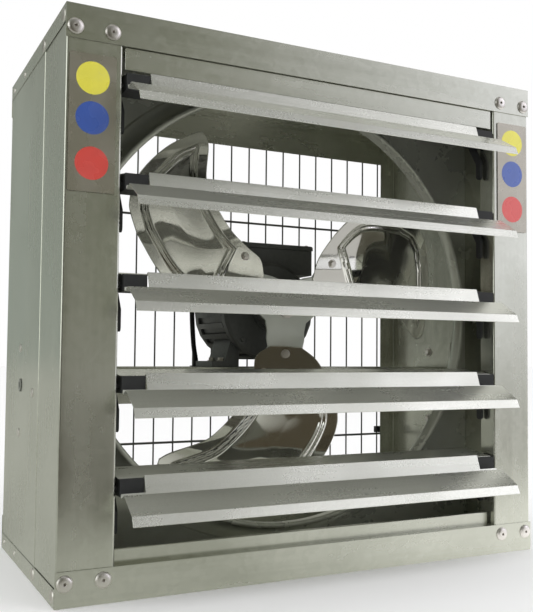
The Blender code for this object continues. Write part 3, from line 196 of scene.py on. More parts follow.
handlingLook = dict(
    cloud=(2.0, 0.45),  # detail and roughness
    smudge=(0.35, 0.72),
    bend=(5.0, 2.0, 0.35),  # scale, detail and reach
    scratchWidth=0.012,
    scratched=(0.52, 0.62),
)


# Marks of handling: cloudy smudges and a few thin scratches
def handlingGroup(look):
    takes = {"Vector": None, "Smudge Size": 9.0, "Scratch Size": 14.0}
    group, start, end = newGroup("handling marks", takes, ("Smudge", "Scratch"))
    cloud = noise(group, start["Vector"], start["Smudge Size"], *look["cloud"])["Fac"]
    group.links.new(span(group, cloud, *look["smudge"], 0.0, 1.0, True), end["Smudge"])
    scale, detail, reach = look["bend"]
    bent = noise(group, start["Vector"], scale, detail)["Color"]
    off = vectors(group, "SCALE", {0: bent, "Scale": reach})
    at = vectors(group, "ADD", {0: start["Vector"], 1: off})
    inputs = {"Vector": at, "Scale": start["Scratch Size"]}
    lines = place(group, "TexVoronoi", inputs, feature="DISTANCE_TO_EDGE").outputs["Distance"]
    thin = span(group, lines, 0.0, look["scratchWidth"], 1.0, 0.0)
    mask = span(group, cloud, *look["scratched"], 0.0, 1.0)
    group.links.new(times(group, thin, mask), end["Scratch"])
    return group


# Fine moulded or cast skin, with a slower unevenness under it
def grainGroup(fineDetail=2.0, slowDetail=3.0):
    takes = {"Vector": None, "Grain": 900.0, "Swell": 60.0}
    group, start, end = newGroup("moulded grain", takes, ("Grain", "Swell"))
    for label, detail in (("Grain", fineDetail), ("Swell", slowDetail)):
        group.links.new(noise(group, start["Vector"], start[label], detail)["Fac"], end[label])
    return group


# Dust that settles on what faces upwards, thicker in cloudy patches
def dustGroup(cloud=(40.0, 5.0), patch=(0.3, 0.7, 0.35, 1.0), rise=(0.2, 1.0)):
    group, start, end = newGroup("settled dust", {"Vector": None}, ("Dust",))
    facing = place(group, "NewGeometry").outputs["Normal"]
    upward = place(group, "SeparateXYZ", {0: facing}).outputs["Z"]
    patches = span(group, noise(group, start["Vector"], *cloud)["Fac"], *patch)
    settling = span(group, upward, *rise, 0.0, 1.0, True)
    group.links.new(times(group, settling, patches), end["Dust"])
    return group


spangle = spangleGroup()
streaks = streakGroup()
handling = handlingGroup(handlingLook)
grain = grainGroup()
dust = dustGroup()


# Materials


def newMaterial(name):
    made = bpy.data.materials.new(name)
    made.use_nodes = True
    tree = made.node_tree
    shader = tree.nodes["Principled BSDF"]
    at = place(tree, "TexCoord").outputs["Object"]
    return made, tree, shader, at


zincLook = dict(
    warp=0.006, scratch=11.0, stained=0.25, bands=(0.3, 0.7), spread=0.05, smudgeDull=0.07,
    flakeDull=0.12, lineHeight=0.5, depth=0.0006, wave=4.5, waveDetail=1.0, waveDepth=0.004,
)


# Hot-dip galvanised sheet. The spec gives its colours, polish and the direction of its rolling lines.
def zincSheet(name, spec, look=zincLook):
    made, tree, shader, at = newMaterial(name)
    flakes = use(tree, spangle, {"Vector": at, "Cells": spec["cells"], "Warp": look["warp"]})
    lines = use(tree, streaks, {"Vector": at, "Across": spec["fine"], "Broad": spec["wide"]})
    marks = use(tree, handling, {"Vector": at, "Smudge Size": spec["smudge"], "Scratch Size": look["scratch"]})
    tone = times(tree, flakes["Tone"], spec["flake"])
    tone = addShare(tree, tone, lines["Wide"], spec["band"])
    tone = addShare(tree, tone, lines["Fine"], spec["line"])
    colour = blendColour(tree, tone, spec["dark"], spec["light"])
    stained = times(tree, marks["Smudge"], look["stained"])
    colour = blendColour(tree, stained, colour, spec["stain"])
    polish, spread = spec["polish"], look["spread"]
    rough = span(tree, lines["Wide"], *look["bands"], polish - spread, polish + spread)
    rough = addShare(tree, rough, marks["Smudge"], look["smudgeDull"])
    rough = addShare(tree, rough, flakes["Tone"], spec["flake"] * look["flakeDull"])
    height = times(tree, lines["Fine"], look["lineHeight"])
    height = addShare(tree, height, flakes["Height"], spec["dent"])
    fine = bump(tree, spec["bump"], look["depth"], height)
    slow = noise(tree, at, look["wave"], look["waveDetail"])["Fac"]
    waves = bump(tree, spec["wavy"], look["waveDepth"], slow, fine)
    fill(tree, shader, {"Base Color": colour, "Roughness": rough, "Normal": waves, "Metallic": spec["metal"]})
    return made


brightLook = dict(
    scratch=18.0, broad=(7.0, 7.0, 7.0), scratchDull=0.12, depth=0.0004, waveDetail=1.0,
    waveDepth=0.003,
)


# Polished or plated metal with faint smears, fine lines and a slightly wavy skin
def brightMetal(name, spec, look=brightLook):
    made, tree, shader, at = newMaterial(name)
    marks = use(tree, handling, {"Vector": at, "Smudge Size": spec["smudge"], "Scratch Size": look["scratch"]})
    lines = use(tree, streaks, {"Vector": at, "Across": spec["fine"], "Broad": look["broad"]})
    colour = blendColour(tree, lines["Wide"], spec["dark"], spec["light"])
    rough = maths(tree, "ADD", times(tree, marks["Smudge"], spec["smear"]), spec["polish"])
    rough = addShare(tree, rough, marks["Scratch"], look["scratchDull"])
    fine = bump(tree, spec["bump"], look["depth"], lines["Fine"])
    slow = noise(tree, at, spec["wave"], look["waveDetail"])["Fac"]
    waves = bump(tree, spec["wavy"], look["waveDepth"], slow, fine)
    metal = spec.get("metal", 1.0)
    fill(tree, shader, {"Base Color": colour, "Roughness": rough, "Normal": waves, "Metallic": metal})
    return made


blackLook = dict(
    dusty=(0.16, 0.15, 0.13), swells=(0.3, 0.7), glossier=0.06, duller=0.08, dustDull=0.2, depth=0.0005,
)


# Plastic, enamel or rubber: grained, a little uneven in gloss, dusty where it faces up
def blackPart(name, spec, look=blackLook):
    made, tree, shader, at = newMaterial(name)
    skin = use(tree, grain, {"Vector": at, "Grain": spec["grain"], "Swell": spec["swell"]})
    settled = use(tree, dust, {"Vector": at})["Dust"]
    colour = blendColour(tree, skin["Swell"], spec["dark"], spec["light"])
    colour = blendColour(tree, times(tree, settled, spec["dust"]), colour, look["dusty"])
    polish = spec["polish"]
    rough = span(tree, skin["Swell"], *look["swells"], polish - look["glossier"], polish + look["duller"])
    rough = addShare(tree, rough, settled, look["dustDull"])
    height = addShare(tree, skin["Grain"], skin["Swell"], spec["lumps"])
    fine = bump(tree, spec["bump"], look["depth"], height)
    inputs = {"Base Color": colour, "Roughness": rough, "Normal": fine, "Specular IOR Level": spec["shine"]}
    fill(tree, shader, inputs)
    return made


olive = dict(
    dark=(0.48, 0.49, 0.42), light=(0.73, 0.735, 0.665), stain=(0.44, 0.45, 0.38),
    metal=0.92, polish=0.20, cells=110.0, flake=0.16, band=0.72, line=0.20,
    dent=0.0, bump=0.06, wavy=0.06, smudge=5.0,
)
upright = zincSheet("galvanised, rolled upright", dict(
    olive, fine=(260.0, 260.0, 5.0), wide=(30.0, 30.0, 1.6),
))
level = zincSheet("galvanised, rolled level", dict(
    olive, polish=0.21, fine=(5.0, 260.0, 260.0), wide=(1.6, 30.0, 30.0),
))
bladeZinc = zincSheet("galvanised shutter blade", dict(
    olive, dark=(0.58, 0.59, 0.53), light=(0.84, 0.845, 0.79), metal=0.80, polish=0.24, cells=620.0,
    band=0.55, dent=0.5, bump=0.34, smudge=7.0, fine=(6.0, 300.0, 300.0), wide=(2.0, 40.0, 40.0),
))
ringZinc = zincSheet("galvanised bell mouth", dict(
    olive, dark=(0.46, 0.475, 0.395), light=(0.66, 0.67, 0.59), metal=0.45, polish=0.22, cells=80.0,
    flake=0.12, band=0.55, bump=0.03, smudge=4.0, fine=(180.0, 40.0, 180.0), wide=(12.0, 12.0, 12.0),
))
mirror = brightMetal("polished stainless", dict(
    dark=(0.84, 0.83, 0.79), light=(0.93, 0.92, 0.89), metal=0.97, polish=0.03, smear=0.03, smudge=12.0,
    bump=0.01, wave=9.0, wavy=0.26, fine=(300.0, 60.0, 300.0),
))
plated = brightMetal("zinc plated steel", dict(
    dark=(0.55, 0.57, 0.52), light=(0.68, 0.70, 0.64), metal=0.62, polish=0.36, smear=0.16, smudge=22.0,
    bump=0.08, wave=16.0, wavy=0.16, fine=(260.0, 60.0, 260.0),
))
rivetSteel = brightMetal("bright rivet steel", dict(
    dark=(0.70, 0.665, 0.63), light=(0.88, 0.845, 0.81), polish=0.36, smear=0.10, smudge=60.0,
    bump=0.04, wave=90.0, wavy=0.12, fine=(700.0, 700.0, 700.0),
))
wireSteel = brightMetal("dark guard wire", dict(
    dark=(0.11, 0.11, 0.10), light=(0.24, 0.24, 0.225), polish=0.34, smear=0.14, smudge=60.0,
    bump=0.10, wave=60.0, wavy=0.10, fine=(500.0, 500.0, 20.0),
))
castMetal = brightMetal("cast aluminium", dict(
    dark=(0.46, 0.46, 0.45), light=(0.62, 0.62, 0.61), polish=0.38, smear=0.14, smudge=50.0,
    bump=0.16, wave=120.0, wavy=0.20, fine=(400.0, 400.0, 400.0),
))
copperWire = brightMetal("varnished winding", dict(
    dark=(0.36, 0.15, 0.06), light=(0.58, 0.28, 0.13), polish=0.30, smear=0.10, smudge=70.0,
    bump=0.5, wave=150.0, wavy=0.3, fine=(60.0, 900.0, 60.0),
))
plastic = blackPart("black moulded plastic", dict(
    dark=(0.020, 0.021, 0.021), light=(0.034, 0.035, 0.035), shine=0.28, polish=0.46,
    grain=1400.0, swell=60.0, lumps=0.5, bump=0.16, dust=0.16,
))
enamel = blackPart("black motor enamel", dict(
    dark=(0.055, 0.058, 0.052), light=(0.085, 0.088, 0.080), shine=0.40, polish=0.36,
    grain=700.0, swell=160.0, lumps=1.4, bump=0.30, dust=0.30,
))
rubber = blackPart("black rubber", dict(
    dark=(0.010, 0.010, 0.011), light=(0.020, 0.020, 0.021), shine=0.35, polish=0.55,
    grain=1800.0, swell=90.0, lumps=0.4, bump=0.12, dust=0.20,
))
greyRubber = blackPart("grey rubber", dict(
    dark=(0.17, 0.18, 0.155), light=(0.24, 0.25, 0.215), shine=0.35, polish=0.50,
    grain=1800.0, swell=90.0, lumps=0.4, bump=0.10, dust=0.20,
))
print("materials made")


# Mesh helpers

meshing = dict(
    merge=1e-5,
    close=1e-6,
    flat=0.4,  # degrees between faces that are joined up
    foldFace=0.0045,  # the narrowest face beside a fold
    foldSteps=3,
    foldOver=40,
    weight=50,
)
onAxis = dict(centre=(0, 0, 0), axis=(0, 0, 1))


# A merged copy of a CAD node's mesh, with its flat faces joined up
def nodeMesh(node):
    bm = bmesh.new()
    bm.from_mesh(frame["nodes"][node].data)
    bmesh.ops.remove_doubles(bm, verts=bm.verts, dist=meshing["merge"])
    limit = math.radians(meshing["flat"])
    bmesh.ops.dissolve_limit(bm, angle_limit=limit, verts=bm.verts, edges=bm.edges)
    return bm


def bevelEdges(bm, edges, width, segments, **options):
    bmesh.ops.bevel(
        bm, geom=edges, offset=width, segments=segments, profile=0.5, affect="EDGES", material=-1, **options
    )


# Rounds every edge that is sharper than an angle, or only those of them that a test picks
def roundOff(bm, width, segments, over, chosen=None):
    limit = math.radians(over)
    edges = [edge for edge in bm.edges if len(edge.link_faces) == 2 and edge.calc_face_angle() > limit]
    if chosen:
        edges = [edge for edge in edges if chosen(edge)]
    bevelEdges(bm, edges, width, segments, offset_type="OFFSET", clamp_overlap=True)


# A fold lies between two broad faces, and a cut edge beside a narrow one
def isFold(edge):
    for face in edge.link_faces:
        longest = max(side.calc_length() for side in face.edges)
        if face.calc_area() / longest < meshing["foldFace"]:
            return False
    return True


# Turns a sheet over where the faces that are asked about look backwards
def faceForward(bm, asked):
    if sum(face.normal.y * face.calc_area() for face in asked) > 0:
        bmesh.ops.reverse_faces(bm, faces=bm.faces)


def meshFrom(name, bm):
    mesh = bpy.data.meshes.new(name)
    bm.to_mesh(mesh)
    bm.free()
    return mesh


def finishPiece(name, bm, surface, body, stands=(), sharp=35, sheet=0.0):
    mesh = meshFrom(name, bm)
    mesh.materials.append(surface)
    if "custom_normal" in mesh.attributes:  # carried over from the CAD node, and out of date here
        mesh.attributes.remove(mesh.attributes["custom_normal"])
    mesh.shade_smooth()
    mesh.set_sharp_from_angle(angle=math.radians(sharp))
    made = addObject(name, mesh)
    if sheet:
        wall = made.modifiers.new("wall", "SOLIDIFY")
        wall.thickness = sheet
        wall.offset = -1
        wall.use_even_offset = True
    shading = made.modifiers.new("flat faces stay flat", "WEIGHTED_NORMAL")
    shading.weight = meshing["weight"]
    shading.keep_sharp = True
    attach(made, body)
    if stands:
        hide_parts(*stands)


def bodyOf(node):
    for body, nodes in frame["record"]["behaviour"]["bodies"].items():
        if node in nodes:
            return body


# Stands a rounded, smooth-shaded copy in for a CAD node
def dress(node, surface, width=0.0, segments=2, sharp=35, over=32, fold=0.0, change=None):
    bm = nodeMesh(node)
    if change:
        change(bm)
        bm.normal_update()
    if fold:
        roundOff(bm, fold, meshing["foldSteps"], meshing["foldOver"], isFold)
    if width:
        roundOff(bm, width, segments, over)
    finishPiece(node + "_dressed", bm, surface, bodyOf(node), (node,), sharp)


# Turns a closed (radius, along) profile about an axis through the centre
def spinProfile(bm, profile, steps, centre, axis):
    axis = Vector(axis).normalized()
    across = axis.orthogonal().normalized()
    ring = [bm.verts.new(Vector(centre) + across * radius + axis * along) for radius, along in profile]
    edges = [bm.edges.new(pair) for pair in zip(ring, ring[1:] + ring[:1])]
    bmesh.ops.spin(bm, geom=ring + edges, cent=centre, axis=axis, angle=math.tau, steps=steps, use_merge=True)
    bmesh.ops.remove_doubles(bm, verts=bm.verts, dist=meshing["close"])
    loose = [edge for edge in bm.edges if not edge.link_faces]
    bmesh.ops.delete(bm, geom=loose, context="EDGES")
    bmesh.ops.recalc_face_normals(bm, faces=bm.faces)


# Adds one bmesh to another through a short-lived mesh
def joinInto(bm, other):
    mesh = meshFrom("joining", other)
    bm.from_mesh(mesh)
    bpy.data.meshes.remove(mesh)


# Moves a mesh made along +Z so that its +Z points the given way from a place
def standUp(bm, at, way, turn=0.0):
    spin = Vector(way).to_track_quat("Z", "Y").to_matrix().to_4x4()
    matrix = Matrix.Translation(at) @ spin @ Matrix.Rotation(turn, 4, "Z")
    bmesh.ops.transform(bm, matrix=matrix, verts=bm.verts)


# Fasteners

hexLook = dict(rim=0.8, top=0.96, washerSteps=28, crown=0.9, chamfer=0.14)  # shares of height and radius


# A hexagon head on a washer, with its chamfered crown
def hexBolt(spec, at, way, turn=0.0, look=hexLook):
    bm = bmesh.new()
    seat, wide = spec["washer"], spec["washerRadius"]
    washer = [(0, 0), (wide, 0), (wide, seat * look["rim"]), (wide * look["top"], seat), (0, seat)]
    spinProfile(bm, washer, look["washerSteps"], **onAxis)
    head = bmesh.new()
    radius, high = spec["radius"], spec["head"]
    middle = Matrix.Translation((0, 0, seat + high / 2))
    bmesh.ops.create_cone(
        head, cap_ends=True, segments=6, radius1=radius, radius2=radius, depth=high, matrix=middle
    )
    crown = seat + high * look["crown"]
    top = [edge for edge in head.edges if all(vert.co.z > crown for vert in edge.verts)]
    bevelEdges(head, top, radius * look["chamfer"], 2)
    joinInto(bm, head)
    standUp(bm, at, way, turn)
    return bm


def finishFasteners(name, bm, surface=rivetSteel, body="housing"):
    finishPiece(name, bm, surface, body)


# A domed head above a straight foot, with a small flat on top where the spec gives one
def domeHead(spec, at, way):
    bm = bmesh.new()
    radius, high, foot, arc = spec["radius"], spec["head"], spec["foot"], spec["arc"]
    profile = [(0, 0), (radius, 0)]
    for step in range(arc):
        angle = math.pi / 2 * step / arc
        profile.append((radius * math.cos(angle), high * (foot + (1 - foot) * math.sin(angle))))
    if spec["flat"]:
        profile.append((radius * spec["flat"], high))
    spinProfile(bm, profile + [(0, high)], spec["steps"], **onAxis)
    standUp(bm, at, way)
    return bm


# Housing

housing = dict(
    fold=0.0026,
    stripFold=0.0012,
    cut=0.0003,
    cutOver=60,
    jog=frontPlane + 0.133,
    jogReach=0.006,
    jogHalf=0.0003,
    band=(0.3675, 0.3680),  # half width over the front bands, in the CAD and here
    side=0.3700,
    lapFace=0.3692,
    near=0.00005,
)


# The side walls' jog, drawn in to a short steep step
def tightenJog(bm):
    cadBand, band = housing["band"]
    for vert in bm.verts:
        if abs(abs(vert.co.x) - cadBand) < housing["near"]:
            vert.co.x = math.copysign(band, vert.co.x)
        off = vert.co.y - housing["jog"]
        if abs(off) < housing["jogReach"]:
            vert.co.y = housing["jog"] + math.copysign(housing["jogHalf"], off)


# The laps lie a little further in than in the CAD, so that their rivets stand no wider than the housing
def seatLaps(bm):
    for vert in bm.verts:
        if abs(vert.co.x) > housing["side"] - housing["near"]:
            vert.co.x = math.copysign(housing["lapFace"], vert.co.x)


for names, surface, fold, change in (
    (("left_panel", "right_panel"), upright, housing["fold"], tightenJog),
    (("top_panel", "bottom_panel"), level, housing["fold"], seatLaps),
    (("top_stop_strip", "bottom_stop_strip"), level, housing["stripFold"], None),
):
    for node in names:
        dress(node, surface, housing["cut"], 1, over=housing["cutOver"], fold=fold, change=change)
print("housing dressed")

cornerRivets = dict(
    count=8,
    radius=0.0100,
    head=0.0034,
    seat=-0.0003,
    rim=0.0006,
    ledge=(0.965, 0.0010),  # a share of the radius, and how high it lies
    crownFrom=0.0011,
    crown=(0.30, 0.62),  # widths of the flat and of the round, as shares of the radius
    crownSteps=8,
    holeRadius=0.0018,
    holeDepth=0.0056,
    mouth=(1.25, 0.0004),  # the hole's chamfer: a share of its radius, and its depth
    steps=40,
    shank=0.0024,
    collar=0.0044,
    collarAt=0.0030,
    collarDepth=0.0025,
    collarRound=(0.8, 0.6),  # shares of the collar's radius and depth
    sharp=40,
)


# Eight large domed rivets: stepped crown, drilled centre, closed collar inside
def cornerRivetPieces(spec):
    low, radius = spec["seat"], spec["radius"]
    top = low - spec["head"]
    ledge, ledgeHigh = spec["ledge"]
    crown = [(radius, low), (radius, low - spec["rim"]), (radius * ledge, low - ledgeHigh)]
    flat, rounded = spec["crown"]
    start = low - spec["crownFrom"]
    for step in range(1, spec["crownSteps"] + 1):
        angle = math.pi / 2 * step / spec["crownSteps"]
        out = radius * (flat + rounded * math.cos(angle))
        crown.append((out, start - (spec["head"] - spec["crownFrom"]) * math.sin(angle)))
    bore, floor = spec["holeRadius"], top + spec["holeDepth"]
    mouth, mouthDeep = spec["mouth"]
    hole = [(bore * mouth, top), (bore, top + mouthDeep), (bore, floor), (0, floor)]
    collar, foot = spec["collar"], spec["collarAt"]
    narrow, straight = spec["collarRound"]
    back = foot + spec["collarDepth"]
    inside = [(0, back), (collar * narrow, back), (collar, foot + spec["collarDepth"] * straight)]
    inside += [(collar, foot), (spec["shank"], foot), (spec["shank"], low)]
    for number in range(1, spec["count"] + 1):
        node = f"corner_rivet_{number}"
        lowest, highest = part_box(node)
        centre = ((lowest.x + highest.x) / 2, frontPlane, (lowest.z + highest.z) / 2)
        bm = bmesh.new()
        spinProfile(bm, inside + crown + hole, spec["steps"], centre, (0, 1, 0))
        finishPiece(node + "_dressed", bm, rivetSteel, "housing", (node,), spec["sharp"])


cornerRivetPieces(cornerRivets)

lapRivets = dict(
    head=0.0008,
    rim=0.70,  # shares of the radius
    bowl=0.62,
    mark=(0.30, 0.24),
    bowlFloor=0.4,  # shares of the head's height
    markFloor=0.1,
    steps=32,
    places=((0.015, 0.0088), (0.141, 0.0088), (0.284, 0.0044), (0.377, 0.0044)),  # back from the front, radius
    fromEnd=0.0125,
    height=0.740,
)


# A pressed-in rivet: sloped flank, raised rim, sunk middle, small centre mark
def lapRivet(spec, radius, at, way):
    bm = bmesh.new()
    high = spec["head"]
    floor, deepest = high * spec["bowlFloor"], high * spec["markFloor"]
    outer, inner = spec["mark"]
    profile = [(0, 0), (radius, 0), (radius - high, high), (radius * spec["rim"], high)]
    profile += [(radius * spec["bowl"], floor), (radius * outer, floor)]
    profile += [(radius * inner, deepest), (0, deepest)]
    spinProfile(bm, profile, spec["steps"], **onAxis)
    standUp(bm, at, way)
    return bm


# Rivets through the laps of the top and bottom panels, on both sides
def lapRivetPieces(spec):
    for side, label in ((-1, "left"), (1, "right")):
        bm = bmesh.new()
        for back, radius in spec["places"]:
            for height in (spec["fromEnd"], spec["height"] - spec["fromEnd"]):
                at = (side * housing["lapFace"], frontPlane + back, height)
                joinInto(bm, lapRivet(spec, radius, at, (side, 0, 0)))
        finishFasteners(f"{label}_lap_rivets", bm)


lapRivetPieces(lapRivets)
print("rivets made")

# Motor support

support = dict(edge=0.0008, edgeSteps=3, grommetEdge=0.0003)
for node in ("motor_crossbar", "left_mount_plate", "right_mount_plate"):
    dress(node, level, support["edge"], support["edgeSteps"])
dress("crossbar_grommet", rubber, support["grommetEdge"])
dress("side_grommet", greyRubber, support["grommetEdge"])

wallFixings = dict(
    head=dict(radius=0.0062, head=0.0014, foot=0.25, arc=6, flat=0.0, steps=20),
    nut=dict(radius=0.0060, head=0.0044, washer=0.0012, washerRadius=0.0085),
    nutTurn=7,  # for each metre of height, so that no two nuts stand alike
    wallOutside=0.3685,
    wallInside=0.3673,
    plate=0.0033,
    flange=0.0015,
    places=((0.274, 0.314, "plate"), (0.274, 0.190, "plate"), (0.174, 0.252, "flange")),  # back, height, sheet
)


# Bolts of the mount plates and of the bell mouth's flange: low domes outside, nuts inside
def wallFixingPieces(spec):
    for side, label in ((-1, "left"), (1, "right")):
        domes = bmesh.new()
        nuts = bmesh.new()
        for back, height, under in spec["places"]:
            y = frontPlane + back
            joinInto(domes, domeHead(spec["head"], (side * spec["wallOutside"], y, height), (side, 0, 0)))
            inner = side * (spec["wallInside"] - spec[under])
            joinInto(nuts, hexBolt(spec["nut"], (inner, y, height), (-side, 0, 0), height * spec["nutTurn"]))
        finishFasteners(f"{label}_wall_bolt_heads", domes)
        finishFasteners(f"{label}_wall_nuts", nuts)


wallFixingPieces(wallFixings)
print("motor support made")

# Films on the columns

films = dict(
    thickness=0.00012, halfWidth=0.0292, corner=0.002, cornerSteps=4,
    sides=(("left", -0.3350), ("right", 0.3350)), low=0.5055, high=0.6793, colour=(0.44, 0.412, 0.345),
    uneven=0.14, metal=0.8,
    spots=((0.6488, (0.72, 0.66, 0.05)), (0.5985, (0.02, 0.075, 0.36)), (0.5415, (0.62, 0.045, 0.035))),
    spotRadius=0.0208, spotThickness=0.00008, spotSteps=48, spotUneven=0.18,
)
filmLook = dict(
    grain=1500.0, swell=45.0, smudge=30.0, scratch=60.0, worn=0.35, bare=(0.45, 0.44, 0.40),
    rough=(0.24, 0.38), bump=0.10, depth=0.0003,
    shine={"Specular IOR Level": 0.9, "Coat Weight": 0.6, "Coat Roughness": 0.16, "Coat IOR": 1.7},
)


# Glossy plastic film, faintly mottled, with fine wear
def filmMaterial(name, colour, uneven, metal=0.0, look=filmLook):
    made, tree, shader, at = newMaterial(name)
    skin = use(tree, grain, {"Vector": at, "Grain": look["grain"], "Swell": look["swell"]})
    marks = use(tree, handling, {"Vector": at, "Smudge Size": look["smudge"], "Scratch Size": look["scratch"]})
    dark = tuple(part * (1 - uneven) for part in colour)
    tinted = blendColour(tree, skin["Swell"], dark, colour)
    tinted = blendColour(tree, times(tree, marks["Scratch"], look["worn"]), tinted, look["bare"])
    rough = span(tree, marks["Smudge"], 0.0, 1.0, *look["rough"])
    fine = bump(tree, look["bump"], look["depth"], skin["Grain"])
    fill(tree, shader, {"Base Color": tinted, "Roughness": rough, "Normal": fine, "Metallic": metal})
    fill(tree, shader, look["shine"])
    return made


# A bare strip of film on each column, with three plain round spots and nothing printed on them
def filmPieces(spec):
    base = filmMaterial("bare film", spec["colour"], spec["uneven"], spec["metal"])
    spots = [
        (number, height, filmMaterial(f"spot ink {number}", colour, spec["spotUneven"]))
        for number, (height, colour) in enumerate(spec["spots"], 1)
    ]
    thick, spotThick, radius = spec["thickness"], spec["spotThickness"], spec["spotRadius"]
    for side, x in spec["sides"]:
        bm = bmesh.new()
        middle = (x, frontPlane - thick / 2, (spec["low"] + spec["high"]) / 2)
        size = Matrix.Diagonal((2 * spec["halfWidth"], thick, spec["high"] - spec["low"], 1))
        bmesh.ops.create_cube(bm, size=1, matrix=Matrix.Translation(middle) @ size)
        lengthY = [(edge, abs((edge.verts[0].co - edge.verts[1].co).y)) for edge in bm.edges]
        corners = [edge for edge, length in lengthY if length > meshing["close"]]
        bevelEdges(bm, corners, spec["corner"], spec["cornerSteps"])
        finishPiece(f"{side}_film", bm, base, "housing")
        for number, height, ink in spots:
            disc = bmesh.new()
            matrix = Matrix.Translation((x, frontPlane - thick - spotThick / 2, height))
            matrix = matrix @ Matrix.Rotation(math.pi / 2, 4, "X")
            bmesh.ops.create_cone(
                disc, cap_ends=True, segments=spec["spotSteps"], radius1=radius, radius2=radius,
                depth=spotThick, matrix=matrix,
            )
            finishPiece(f"{side}_film_spot_{number}", disc, ink, "housing")


filmPieces(films)
print("films made")

# Shutter

shutter = dict(count=5, bladeFold=0.0009, bladeSteps=3, bladeOver=8, bracketEdge=0.0006, rodEdge=0.0003)
for number in range(1, shutter["count"] + 1):
    node = f"shutter_blade_{number}"
    dress(node, bladeZinc, shutter["bladeFold"], shutter["bladeSteps"], over=shutter["bladeOver"])
    for side in ("left", "right"):
        dress(f"{side}_bracket_{number}", plastic, shutter["bracketEdge"])
dress("link_rod", level, shutter["rodEdge"])
print("shutter dressed")

# Bell mouth

bell = dict(
    plane=frontPlane + 0.166, centre=0.377, outer=0.360, edge=0.355, step=0.003,
    soften=((0.0011, 0.0002), (0.0020, 0.0009)),  # across and along, at both ends of the step
    throat=0.3252, reach=0.044, bead=0.003, beadSteps=8, sheet=0.0012, half=0.3670, low=0.0015,
    high=0.7385, flange=0.015, turns=180, arc=14, near=1e-5,
    flat=0.999,  # a face counts as flat from this share of its normal along Y
    sharp=50,
)


# The pressed panel: flat plate, stepped ring, bell and beaded throat in one sheet
def bellMouth(spec):
    bm = bmesh.new()
    plane, run = spec["plane"], spec["edge"] - spec["throat"]
    profile = [(spec["outer"], 0)]
    profile += [(spec["outer"] - across, -along) for across, along in spec["soften"]]
    profile += [(spec["edge"] + across, -spec["step"] + along) for across, along in spec["soften"][::-1]]
    for step in range(spec["arc"] + 1):
        angle = math.pi / 2 * step / spec["arc"]
        profile.append((spec["edge"] - run * math.sin(angle), -spec["step"] - run * (1 - math.cos(angle))))
    rim = -spec["reach"] + spec["bead"]
    for step in range(spec["beadSteps"] + 1):
        angle = math.pi * step / spec["beadSteps"]
        out = spec["throat"] + spec["bead"] * (1 - math.cos(angle))
        profile.append((out, rim - spec["bead"] * math.sin(angle)))
    chain = [bm.verts.new((0, plane + along, spec["centre"] + out)) for out, along in profile]
    edges = [bm.edges.new(pair) for pair in zip(chain, chain[1:])]
    bmesh.ops.spin(
        bm, geom=chain + edges, cent=(0, plane, spec["centre"]), axis=(0, 1, 0), angle=math.tau,
        steps=spec["turns"], use_merge=True,
    )
    rims = [edge for edge in bm.edges if edge.is_boundary]
    hole = [edge for edge in rims if all(abs(vert.co.y - plane) < spec["near"] for vert in edge.verts)]
    half, low, high = spec["half"], spec["low"], spec["high"]
    loop = [bm.verts.new((x, plane, z)) for x, z in ((-half, low), (half, low), (half, high), (-half, high))]
    border = [bm.edges.new(pair) for pair in zip(loop, loop[1:] + loop[:1])]
    bmesh.ops.triangle_fill(bm, use_beauty=True, edges=hole + border, normal=(0, -1, 0))
    folded = bmesh.ops.extrude_edge_only(bm, edges=border)
    moved = [item for item in folded["geom"] if isinstance(item, bmesh.types.BMVert)]
    bmesh.ops.translate(bm, verts=moved, vec=(0, spec["flange"], 0))
    bmesh.ops.recalc_face_normals(bm, faces=bm.faces)
    bm.normal_update()
    faceForward(bm, [face for face in bm.faces if abs(face.normal.y) > spec["flat"]])
    finishPiece(
        "venturi_panel_dressed", bm, ringZinc, "housing", ("venturi_panel",), spec["sharp"],
        spec["sheet"],
    )


bellMouth(bell)
print("bell mouth made")

# Propeller

blade = dict(
    count=3,
    firstAngle=math.radians(27.8),
    tip=0.302,
    rootLean=0.31,
    tipLean=0.40,
    camber=0.010,
    thickness=0.0015,
    armStart=0.0345,
    armNeck=0.059,
    armLength=0.112,
    columns=116,
    rows=144,
    spans=6,
    camberFrom=0.38,
    camberFull=0.70,
    panelInset=0.0225,  # the pressed panel's border lies this far inside the edge
    panelStart=0.1225,
    ribs=((-0.0030, 0.0019, 0.0024), (0.0030, 0.0019, 0.0020)),  # off the border, width, height
    dish=0.0010,
    dishFrom=0.002,
    dishOver=0.006,
    swell=0.0016,
    swellOver=0.030,
    sharp=60,
    trailing=(
        (0.192, -0.076), (0.245, -0.142), (0.321, -0.152), (0.434, -0.172), (0.536, -0.225),
        (0.632, -0.298), (0.685, -0.364), (0.742, -0.507), (0.775, -0.563),
    ),
    leading=(
        (0.192, 0.076), (0.250, 0.152), (0.331, 0.205), (0.430, 0.250), (0.520, 0.272),
        (0.603, 0.268), (0.709, 0.228), (0.851, 0.146),
    ),
    end=(
        (0.775, -0.563), (0.826, -0.563), (0.878, -0.478), (0.927, -0.374), (0.962, -0.248),
        (0.978, -0.139), (0.978, -0.060), (0.957, 0.015), (0.930, 0.066), (0.851, 0.146),
    ),
    root=((0.192, -0.076), (0.188, 0.0), (0.192, 0.076)),
)


# A smooth curve through the points, with a number of spans between each two
def smoothPath(points, spans):
    points = [Vector(point) for point in points]
    full = [2 * points[0] - points[1], *points, 2 * points[-1] - points[-2]]
    out = []
    for before, here, there, after in zip(full, full[1:], full[2:], full[3:]):
        for step in range(spans):
            t = step / spans
            curve = 2 * here + (there - before) * t
            curve += (2 * before - 5 * here + 4 * there - after) * t**2
            curve += (3 * here - before - 3 * there + after) * t**3
            out.append(curve / 2)
    return out + [points[-1]]


